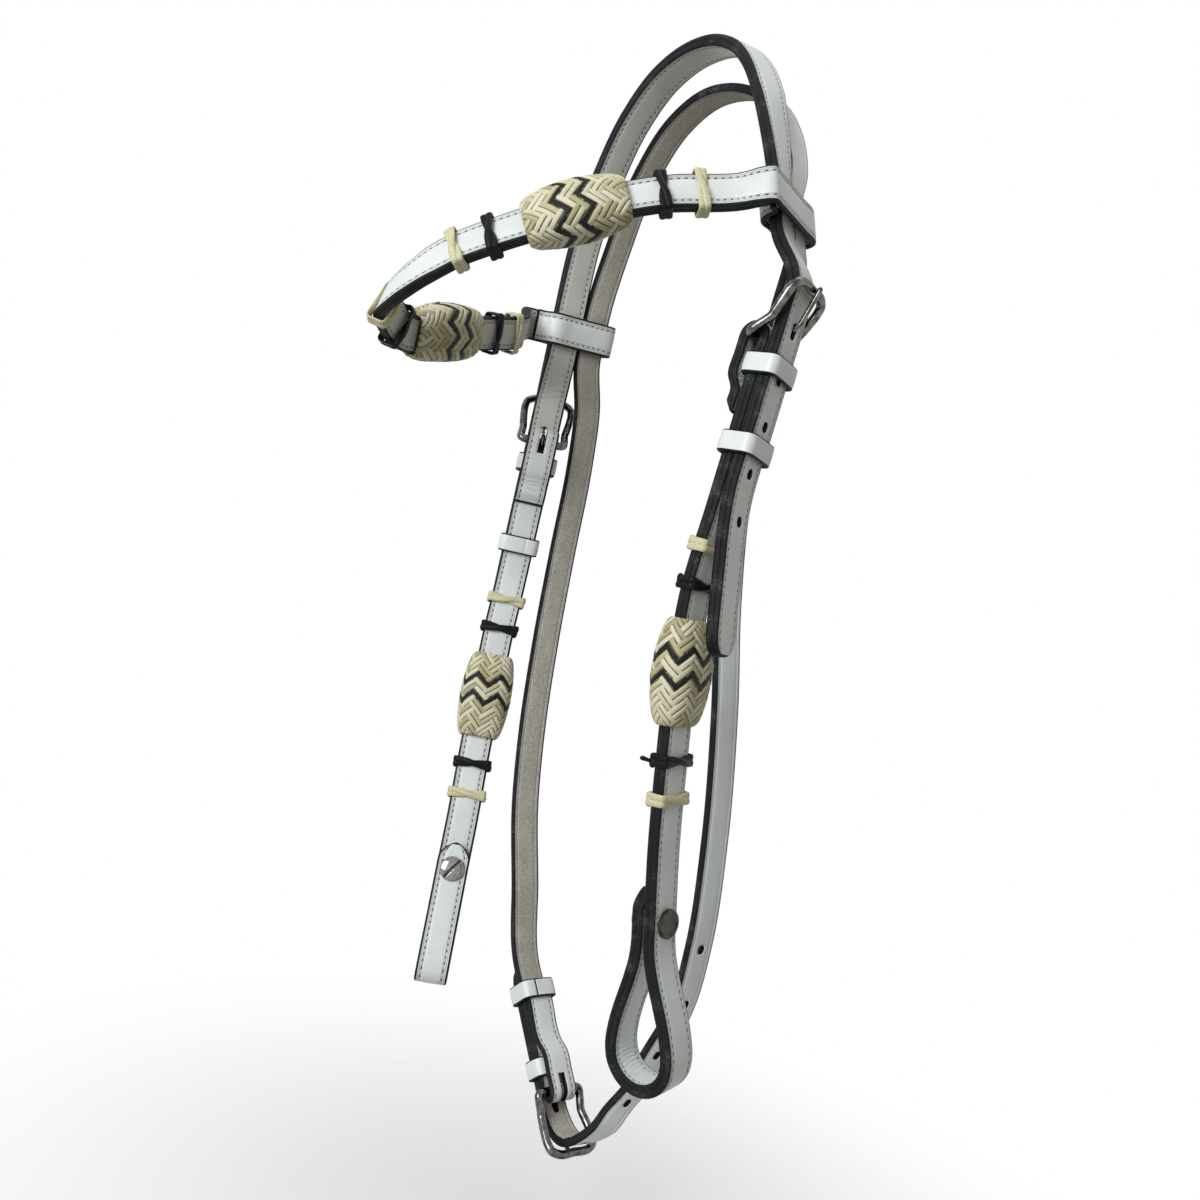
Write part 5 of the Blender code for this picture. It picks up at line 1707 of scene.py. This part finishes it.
@dataclass(frozen=True)
class Buckle:
    """A wire buckle with its tongue, its fixed keeper and its loose keeper."""

    prefix: str
    place: Seat
    keeper_at: float
    under_turn_back: bool

    def dress(self, finishes: Finishes) -> None:
        """Builds the frame, the tongue and both keepers in place of the CAD nodes."""
        for kind, wire in (("frame", self.frame_wire()), ("tongue", self.tongue_wire())):
            node = f"{self.prefix}_buckle_{kind}"
            ride(build(node + "_wire", [wire], [finishes.steel]), node, "polished_steel", node)
        low = self.place.inner_face - SEAT_GAP
        high = self.place.billet_outer_face + LAYER_GAP
        self.keeper("fixed", "straps", KEEPER_FROM_BAR + KEEPER_BAND / 2, low, high, finishes)
        low = self.place.inner_face - LAYER_GAP
        if self.under_turn_back:
            low -= self.place.fold_thick + LAYER_GAP
        name = f"{self.prefix}_loose_keeper"
        self.keeper("loose", name, self.keeper_at, low, high, finishes)

    def frame_wire(self) -> Grid:
        """The frame: a round wire along a smooth closed line through the outline's points.

        Returns:
            The wire, a little thicker at the corners by the bar where it is bent.
        """
        near = np.array(FRAME_OUTLINE)
        outline = np.concatenate([near, [(0.0, 1.0)], near[::-1] * (-1, 1)])
        out, up = frame_side(self.place, outline[:, 1] * (FRAME_RISE + FRAME_REACH))
        points = np.column_stack([outline[:, 0] * FRAME_WIDTH / 2, out, -up])
        count = len(points)
        wrapped = np.concatenate([points[-3:], points, points[:4]])
        knots = travelled(wrapped)
        at = np.linspace(knots[3], knots[3 + count], 180, endpoint=False)
        path = hermite(knots, wrapped, at)
        bent = np.exp(-((path[:, 2] / (3 * MM)) ** 2))
        radii = WIRE_RADIUS * (1 + 0.04 * bent)
        return round_tube(moved(path, self.place.matrix), radii, self.place.out, True)

    def tongue_wire(self) -> Grid:
        """The tongue: a ring round the bar, then a wire up to the frame's front.

        Returns:
            A round wire that is rounded off at its tip and at the ring's end.
        """
        place = self.place
        turn = np.radians(np.linspace(-265, 0, 10))
        front_out, front_up = frame_side(place, FRAME_RISE + FRAME_REACH)
        rest = front_out + TONGUE_RING
        high = place.billet_outer_face
        leave = TONGUE_RING + TONGUE_RISE_OUT
        bend = [(place.outer_face + LAYER_GAP, TONGUE_RING + TONGUE_RISE_IN), (high, leave)]
        bend += [(high + TONGUE_LIFT, leave + TONGUE_LIFT)]
        bend += [(rest, front_up), (rest, front_up + TONGUE_TIP)]
        ring = TONGUE_RING * np.column_stack([np.sin(turn), np.cos(turn)])
        flat = np.concatenate([ring, bend])
        points = np.column_stack([np.zeros(len(flat)), flat[:, 0], -flat[:, 1]])
        knots = travelled(points)
        at = np.linspace(0, knots[-1], 140)
        straight = np.stack([np.interp(at, knots, points[:, i]) for i in range(3)], axis=1)
        padded = np.pad(straight, ((3, 3), (0, 0)), mode="reflect", reflect_type="odd")
        soft = np.array((1, 6, 15, 20, 15, 6, 1)) / 64
        path = np.stack([np.convolve(padded[:, i], soft, mode="valid") for i in range(3)], axis=1)
        tip = np.clip((knots[-1] - at) / (1.2 * MM), 0, 1)
        root = np.clip(at / (0.8 * MM), 0, 1)
        radii = TONGUE_RADIUS * np.sqrt(1 - (1 - tip) ** 2 * 0.96)
        radii = radii * np.sqrt(1 - (1 - root) ** 2 * 0.9)
        return round_tube(moved(path, place.matrix), radii, place.across, False)

    def keeper(
        self, kind: str, body: str, at: float, low: float, high: float, finishes: Finishes
    ) -> None:
        """A band of leather round the layers, between the heights low and high.

        Args:
            kind: Fixed or loose.
            body: The body that it rides.
            at: Its distance from the bar.
            low: The inner height of its hole.
            high: The outer height of its hole.
            finishes: The finishes of the headstall.
        """
        place = self.place
        half = place.width / 2 + LAYER_GAP + KEEPER_THICK / 2
        bottom = low - KEEPER_THICK / 2
        top = high + KEEPER_THICK / 2
        path, normals = rounded_rectangle(half, bottom, top, KEEPER_BEND, KEEPER_STEP)
        dome = KEEPER_DOME * (1 - (path[:, 0] / half) ** 2) * np.abs(normals[:, 1])
        path = path + dome[:, None] * normals
        matrix = frame_matrix(place.point(at), place.across, place.out, place.along)
        axes = np.array(matrix)[:3, :3].T
        centres = moved(np.column_stack([path, np.zeros(len(path))]), matrix)
        stations = Stations.of(centres, axes[2], normals @ axes[:2], KEEPER_BAND, KEEPER_THICK)
        x, y, distance, order = KEEPER_SKIN.outline(stations.widths, stations.thicks, 1)
        from_seam = (path[:, 0] + half * 0.35) / (0.35 * MM)
        seam = np.exp(-(from_seam**2)) * (path[:, 1] < bottom + 0.1 * MM)
        y = y - np.where(y > 0, 0.45 * MM * seam[:, None], 0)
        along = stations.distances()
        along = np.append(along, 2 * along[-1] - along[-2])
        wide = np.full((len(along), distance.shape[1] + 1), 6 * MM)
        uv = np.stack([wide, np.broadcast_to(along[:, None], wide.shape)], -1)
        slots = np.tile(order, (len(path), 1))
        if self.under_turn_back:
            slots[np.argmax(seam)] = Face.EDGE.value
        grid = Grid(stations.surface(x, y), wrap_rows=True, uv=uv, slots=slots)
        node = f"{self.prefix}_{kind}_keeper"
        piece = build(node + "_leather", [grid], [finishes.plain, finishes.edge, finishes.lining])
        ride(piece, body, "white_leather", node)


def rounded_rectangle(
    half: float, low: float, high: float, bend: float, step: float
) -> tuple[Array, Array]:
    """A closed line round a rectangle with round corners, at an even step.

    Args:
        half: Half its width.
        low: Its lower height.
        high: Its upper height.
        bend: The radius of its corners.
        step: About how far apart the points are.

    Returns:
        The points, starting at the middle of the lower side, and the outward directions.
    """
    start = np.array([(0.0, low, -math.pi / 2)])
    rows = [start]
    middles = ((1, low + bend), (1, high - bend), (-1, high - bend), (-1, low + bend))
    for quarter, (side, y) in enumerate(middles):
        turn = np.radians(np.linspace(90 * quarter - 90, 90 * quarter, 7))
        x = side * (half - bend)
        rows.append(np.column_stack([x + bend * np.cos(turn), y + bend * np.sin(turn), turn]))
    line = np.concatenate([*rows, start + (0, 0, 2 * math.pi)])
    knots = travelled(line[:, :2])
    at = np.linspace(0, knots[-1], int(knots[-1] / step) + 1)[:-1]
    x, y, turn = (np.interp(at, knots, line[:, i]) for i in range(3))
    return np.column_stack([x, y]), np.column_stack([np.cos(turn), np.sin(turn)])


@dataclass(frozen=True)
class Button:
    """A braided rawhide barrel round a strap, between two pairs of lace wraps."""

    prefix: str
    body: str
    route: Route
    at: float
    width: float
    thick: float
    offset: float
    black_rows: tuple[int, int]
    columns: int = 12
    row_pitch: float = 3.3 * MM
    zigzag: float = 5.4 * MM
    relief: float = 1.05 * MM
    lean: float = 0.22
    weave: float = 0.13
    strip_half: float = 0.74
    dyed_half: float = 0.42
    mesh_size: tuple[int, int] = (150, 252)
    lace: tuple[float, float] = (1.42 * MM, 0.62 * MM)
    crossing: tuple[float, float] = (1.25 * MM, 1.3 * MM)
    cross: float = 0.5
    tails: bool = False

    def dress(self, finishes: Finishes) -> None:
        """Builds the barrel and its four wraps in place of the CAD nodes."""
        barrel = self.barrel(finishes)
        ride(barrel, self.body, "rawhide", f"{self.prefix}_button")
        pairs = (
            ("black", BLACK_SPACING, finishes.black_lace, "black_lace"),
            ("rawhide", RAWHIDE_SPACING, finishes.rawhide_lace, "rawhide"),
        )
        for end, sign in (("upper", -1), ("lower", 1)):
            for label, spacing, finish, slot in pairs:
                name = f"{self.prefix}_{label}_wrap_{end}"
                tail = self.tails and label == "black" and sign > 0
                grids = self.wrap(self.at + sign * spacing / 2, sign, tail)
                ride(build(name + "_lace", grids, [finish]), self.body, slot, name)

    def braid(self, around: Array, down: Array) -> tuple[Array, Array, Array]:
        """The herringbone plait on the barrel.

        Each of twelve columns holds slanted strips, and the slant turns over from column to
        column, so a strip and its neighbours make a zigzag. A strip is highest at its middle
        and dips at both ends, and it is moved along so that it passes over the next column's
        strips at one end and under them at the other, by turns from row to row. The highest
        of three columns shows.

        Args:
            around: The place round the barrel, in columns.
            down: The distance from the barrel's top.

        Returns:
            The height from 0 to 1, one where a strip is dyed black, and a tone per strip.
        """
        around = around + 0.05 * np.sin(down / (2.9 * MM) + np.sin(around * 1.9))
        uneven = 0.28 * MM * np.sin(around * 2 * math.pi / 6 + down / (5 * MM))
        column = np.floor(around)
        best = np.full(around.shape, -1.0)
        black = np.zeros(around.shape)
        tone = np.zeros(around.shape)
        for step in (-1, 0, 1):
            here = column + step
            t = around - here
            rising = np.mod(here, 2) < 0.5
            phase = (down + uneven - self.zigzag * np.where(rising, t, 1 - t)) / self.row_pitch + 2
            row = np.floor(phase)
            share = phase - row
            lean = np.where(rising, self.lean, -self.lean) * (share - 0.5)
            lean = lean + np.where(np.mod(row, 2) < 0.5, self.weave, -self.weave)
            reach = np.clip(np.abs(t - 0.5 + lean) / self.strip_half, 0, 1)
            height = (1 - np.abs(2 * share - 1) ** 4.6) ** 0.75 * (1 - reach**4.2)
            higher = height > best
            best = np.where(higher, height, best)
            dyed = (row == self.black_rows[0]) | (row == self.black_rows[1])
            dyed &= np.abs(share - 0.5) < self.dyed_half
            black = np.where(higher, dyed, black)
            angle = row * 12.9898 + np.mod(here, self.columns) * 78.233
            tone = np.where(higher, np.mod(np.sin(angle) * 43758.5453, 1), tone)
        return best, black, tone

    def barrel(self, finishes: Finishes) -> Object:
        """The barrel: the plait on an oval swell, closed by a plain bore round the strap.

        Returns:
            The piece, with the attributes that its material reads.
        """
        rows, columns = self.mesh_size
        share = np.linspace(-1, 1, rows)
        at = self.at + share * BUTTON_LENGTH / 2
        here = self.route.stations(at, self.width, self.thick, self.offset)
        swell = np.cos(share * math.pi / 2).clip(0)[:, None] ** 0.7
        wide = (BUTTON_END_WIDTH + (BUTTON_WIDTH - BUTTON_END_WIDTH) * swell) / 2
        deep = (BUTTON_END_THICK + (BUTTON_THICK - BUTTON_END_THICK) * swell) / 2
        fine = np.linspace(0, 2 * math.pi, 721)
        girth = travelled(np.column_stack(oval(fine)) * (BUTTON_WIDTH / 2, BUTTON_THICK / 2))
        turn = np.interp(np.linspace(0, girth[-1], columns, endpoint=False), girth, fine)
        around = np.broadcast_to(np.arange(columns) * self.columns / columns, (rows, columns))
        down = np.broadcast_to((share[:, None] + 1) / 2 * BUTTON_LENGTH, (rows, columns))
        height, black, tone = self.braid(around, down)
        grow = self.relief * (height - 0.72)
        x, y = oval(turn)
        outer = (x * wide + grow * np.cos(turn), y * deep + grow * np.sin(turn))
        inner = bore(turn, self.width / 2 + SEAT_GAP, self.thick / 2 + SEAT_GAP)
        shrink = 1 - 0.1 * np.abs(share[:, None]) ** 14
        layers = [
            np.concatenate([swollen * shrink, np.tile(hole, (2, 1))])
            for swollen, hole in zip(outer, inner)
        ]
        order = np.concatenate([np.arange(rows), [rows - 1, 0]])
        grid = Grid(here.picked(order).surface(*layers), wrap_rows=True)
        piece = build(f"{self.prefix}_button_braid", [grid], [finishes.rawhide], 80)
        plain = np.zeros((2, columns))
        # The depth is the plait's height, which the material turns into painted shade in the gaps.
        for name, value, rest in (
            ("strand", black, plain),
            ("tone", tone, plain + 0.5),
            ("depth", height, plain),
        ):
            set_values(piece, name, np.concatenate([value, rest]))
        return piece

    def wrap(self, at: float, sign: int, tail: bool) -> list[Grid]:
        """Two turns of flat lace that lie side by side behind the strap and cross before it.

        Args:
            at: The distance along the route.
            sign: Which way the crossing slants.
            tail: Whether the lace's end shows.

        Returns:
            The closed lace, and its tail.
        """
        half_band = LACE_PITCH * LACE_TURNS / 2 + LACE_RADIUS
        place = self.route.matrix(at)
        ends = self.route.point(np.array((at - half_band, at + half_band)))
        bow = np.linalg.norm(moved(ends, place.inverted())[:, :2], axis=1).max()
        reach = LACE_GAP + LACE_RADIUS * 0.8 + float(bow)
        low = -self.thick / 2 - reach
        path, normals = rounded_rectangle(self.width / 2 + reach, low, -low, reach, LACE_STEP)
        count = len(path)
        t = np.arange(2 * count) / count
        path = np.tile(path, (2, 1))
        normals = np.tile(normals, (2, 1))
        phase = t - self.cross + 0.5
        sideways, upwards = self.crossing
        shift = -sideways * sign * np.tanh(3 * np.cos(math.pi * phase)) / math.tanh(3)
        from_top = np.mod(phase - 0.5, 2) - 1
        lift = upwards * np.exp(-((from_top / 0.13) ** 2))
        centres = np.column_stack([path + normals * lift[:, None], shift])
        ripple = 1 + 0.04 * np.sin(math.pi * t * 6) + 0.04 * np.sin(math.pi * t * 10 + 1)
        knot = 0.3 * np.exp(-((np.mod(t - 0.79, 2) / 0.05) ** 2))
        ups = np.column_stack([normals, np.zeros(2 * count)])
        here = self.route.matrix(at, self.offset)
        lace = flat_lace(centres, ups, np.outer(ripple * (1 + knot), self.lace), here, True)
        return [lace, self.tail(here, reach, sign)] if tail else [lace]

    def tail(self, place: Matrix, reach: float, sign: int) -> Grid:
        """The lace's end, a short flat stub that leaves the wrap at the strap's edge."""
        share = np.linspace(0, 1, 14)
        x = -(self.width / 2 + reach) + 1.0 * MM - share * 3.2 * MM
        y = -(self.thick / 2 + 0.3 * MM) - 4.4 * MM * share**1.2
        centres = np.column_stack([x, y, sign * (0.8 - 1.2 * share) * MM])
        girth = (1 + 0.3 * np.exp(-(((share - 0.82) / 0.14) ** 2))) * np.sqrt(1 - share**10 * 0.9)
        ups = np.tile(np.array((0.0, 0.3, 1.0)), (14, 1))
        return flat_lace(centres, ups, np.outer(girth, (1.05 * MM, 0.85 * MM)), place, False)


def flat_lace(centres: Array, ups: Array, halves: Array, place: Matrix, closed: bool) -> Grid:
    """A flat lace along a line of a frame, its thickness towards ups."""
    ahead = tangents(centres, closed)
    upwards = square_to(ups, ahead)
    lace = swept(centres, np.cross(ahead, upwards), upwards, halves, 12 if closed else 10)
    return Grid(moved(lace, place), wrap_rows=closed)


def oval(turn: Array) -> tuple[Array, Array]:
    """A squarish oval of half size one: the cosine and sine to the power 0.75, with sign."""
    x = np.sign(np.cos(turn)) * np.abs(np.cos(turn)) ** 0.75
    y = np.sign(np.sin(turn)) * np.abs(np.sin(turn)) ** 0.75
    return x, y


def bore(turn: Array, half_x: float, half_y: float) -> tuple[Array, Array]:
    """A rectangle round a strap, with a point in each direction of an even turn."""
    cos, sin = np.cos(turn), np.sin(turn)
    size = np.maximum(np.abs(cos), np.abs(sin))
    return half_x * cos / size, half_y * sin / size


@dataclass(frozen=True)
class Lamp:
    """A soft square lamp."""

    name: str
    towards: Triple
    distance: float
    size: float
    watts: float
    tint: str

    def build(self, centre: Vector) -> None:
        """Hangs the lamp at its distance from the centre, its face to it."""
        data = bpy.data.lights.new(self.name, "AREA")
        data.size = self.size
        data.energy = self.watts
        data.color = linear(self.tint)[:3]
        towards = Vector(self.towards)
        place = Matrix.Translation(centre + towards.normalized() * self.distance)
        made = add_object(self.name, data)
        made.matrix_world = place @ towards.to_track_quat("Z", "Y").to_matrix().to_4x4()


@dataclass(frozen=True)
class Studio:
    """The camera, the pale floor and the soft light."""

    place: Triple = (0.460, -0.3125, -0.2599)
    heading: float = math.radians(57)
    roll: float = math.radians(10)
    lens: float = 36.0
    centre: Triple = (0.0, -0.02, -0.26)
    floor_height: float = -0.56
    floor_size: float = 3.0
    shadow_reach: float = 0.36
    ambient: float = 0.21
    lamps: tuple[Lamp, ...] = (
        Lamp("key_light", (0.34, -0.87, 0.36), 1.5, 0.9, 20.0, "F8FBFF"),
        Lamp("top_light", (0.1, 0.1, 1.0), 1.6, 1.0, 3.6, "FFFFFF"),
    )

    def build(self) -> None:
        """Sets up the view, the floor, the lamps and the world."""
        self.camera()
        self.floor()
        for lamp in self.lamps:
            lamp.build(Vector(self.centre))
        self.world()
        bpy.context.scene.view_settings.view_transform = "Standard"

    def camera(self) -> None:
        """The camera at the photograph's angle: level, turned and rolled."""
        data = bpy.data.cameras.new("camera")
        data.lens = self.lens
        data.sensor_width = 36.0
        data.clip_start = 0.01
        level = np.array((math.cos(self.heading), math.sin(self.heading), 0))
        ahead = np.array((-math.sin(self.heading), math.cos(self.heading), 0))
        up = np.array((0, 0, 1))
        right = math.cos(self.roll) * level + math.sin(self.roll) * up
        top = math.cos(self.roll) * up - math.sin(self.roll) * level
        made = add_object("camera", data)
        made.matrix_world = frame_matrix(np.array(self.place), right, top, -ahead)
        bpy.context.scene.camera = made

    def floor(self) -> None:
        """A pale floor that keeps the shadow and fades into the white background."""
        mesh = bpy.data.meshes.new("floor")
        size = self.floor_size
        plan = [(-size, -size), (size, -size), (size, size), (-size, size)]
        mesh.from_pydata([(x, y, self.floor_height) for x, y in plan], [], [(0, 1, 2, 3)])
        made, tree, shader = start_material("pale_floor")
        set_inputs(tree, shader, {"Base Color": linear("F4F4F4"), "Roughness": 0.9})
        coords = add_node(tree, "TexCoord", {}, {}).outputs["Object"]
        raised = {"Vector": coords, "Location": (0, 0, -self.floor_height)}
        spot = add_node(tree, "Mapping", {}, raised).outputs["Vector"]
        away = add_node(tree, "VectorMath", {"operation": "LENGTH"}, {0: spot}).outputs["Value"]
        span = {"Value": away, "From Min": 0.0, "From Max": self.shadow_reach, "To Min": 0.4}
        fade = add_node(tree, "MapRange", {"interpolation_type": "SMOOTHSTEP"}, span)
        clear = add_node(tree, "BsdfTransparent", {}, {})
        mix = {"Fac": fade.outputs["Result"], 1: shader.outputs["BSDF"], 2: clear.outputs["BSDF"]}
        mixed = add_node(tree, "MixShader", {}, mix).outputs["Shader"]
        set_inputs(tree, tree.nodes["Material Output"], {"Surface": mixed})
        mesh.materials.append(made)
        add_object("floor", mesh)

    def world(self) -> None:
        """A dim warm surround that the camera, glass and metal see as white."""
        made = bpy.data.worlds.new("studio")
        made.use_nodes = True
        tree = made.node_tree
        rays = add_node(tree, "LightPath", {}, {}).outputs
        most = {"operation": "MAXIMUM"}
        seen = add_node(tree, "Math", most, {0: rays["Is Camera Ray"], 1: rays["Is Glossy Ray"]})
        seen = add_node(tree, "Math", most, {0: seen.outputs[0], 1: rays["Is Transmission Ray"]})
        tinted = {"Color": linear("FBF6EF"), "Strength": self.ambient}
        dim = add_node(tree, "Background", {}, tinted)
        white = add_node(tree, "Background", {}, {"Color": (1, 1, 1, 1), "Strength": 1.0})
        lights = {1: dim.outputs["Background"], 2: white.outputs["Background"]}
        mixed = add_node(tree, "MixShader", {}, {"Fac": seen.outputs[0], **lights})
        set_inputs(tree, tree.nodes["World Output"], {"Surface": mixed.outputs["Shader"]})
        bpy.context.scene.world = made


def main() -> None:
    """Builds the studio and dresses the headstall, sub-assembly by sub-assembly."""
    logging.basicConfig(level=logging.INFO, format="%(name)s: %(message)s")
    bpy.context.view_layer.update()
    Studio().build()
    finishes = Finishes.make()
    far_stops = [(-90, -14, -287), (-86, -17, -318), (-80, -21, -350), (-73, -25, -380)]
    far_stops += [(-67, -29, -406), (-60, -33, -432)]
    near_stops = [(73, -20.5, -250), (73, -20.5, -284), (74, -18.5, -320), (75, -15.5, -355)]
    near_stops += [(76, -11.5, -385), (77, -7.5, -415)]
    far = cheek_route(LEFT, far_stops, (0.48, 0.87, 0), -1)
    near = cheek_route(RIGHT, near_stops, (-0.3, 0.95, 0), 1)
    far_loop = (LEFT_SCREW_AT, LEFT_LOOP_DROP, LEFT_LOOP_RADIUS)
    near_loop = (RIGHT_SCREW_AT, RIGHT_LOOP_DROP, RIGHT_LOOP_RADIUS)
    brow = brow_route()
    brow_far_at = brow.length - BROW_BUTTON_AT
    cheek_layer = (STRAP_WIDTH, STRAP_THICK, LEFT.main_middle)
    brow_layer = (BROW_WIDTH, BROW_THICK, -(BROW_THICK - LOOP_THICK) / 2)
    for piece in (
        CrownStrap(),
        Throatlatch(),
        Browband(),
        Cheek("far", LEFT, far, *far_loop, "polished_steel"),
        Cheek("near", RIGHT, near, *near_loop, "dark_bronze"),
        Buckle("far", LEFT, LEFT_KEEPER_AT, False),
        Buckle("near", RIGHT, RIGHT_KEEPER_AT, False),
        Buckle("throat", THROAT, THROAT_KEEPER_AT, True),
        Button("far_cheek", "straps", far, LEFT_BUTTON_AT, *cheek_layer, (5, 8), cross=0.0),
        Button("near_cheek", "straps", near, RIGHT_BUTTON_AT, *cheek_layer, (5, 8), tails=True),
        Button("brow_near", "browband", brow, BROW_BUTTON_AT, *brow_layer, (6, 9)),
        Button("brow_far", "browband", brow, brow_far_at, *brow_layer, (6, 9), cross=0.0),
    ):
        piece.dress(finishes)


if __name__ == "__main__":
    main()
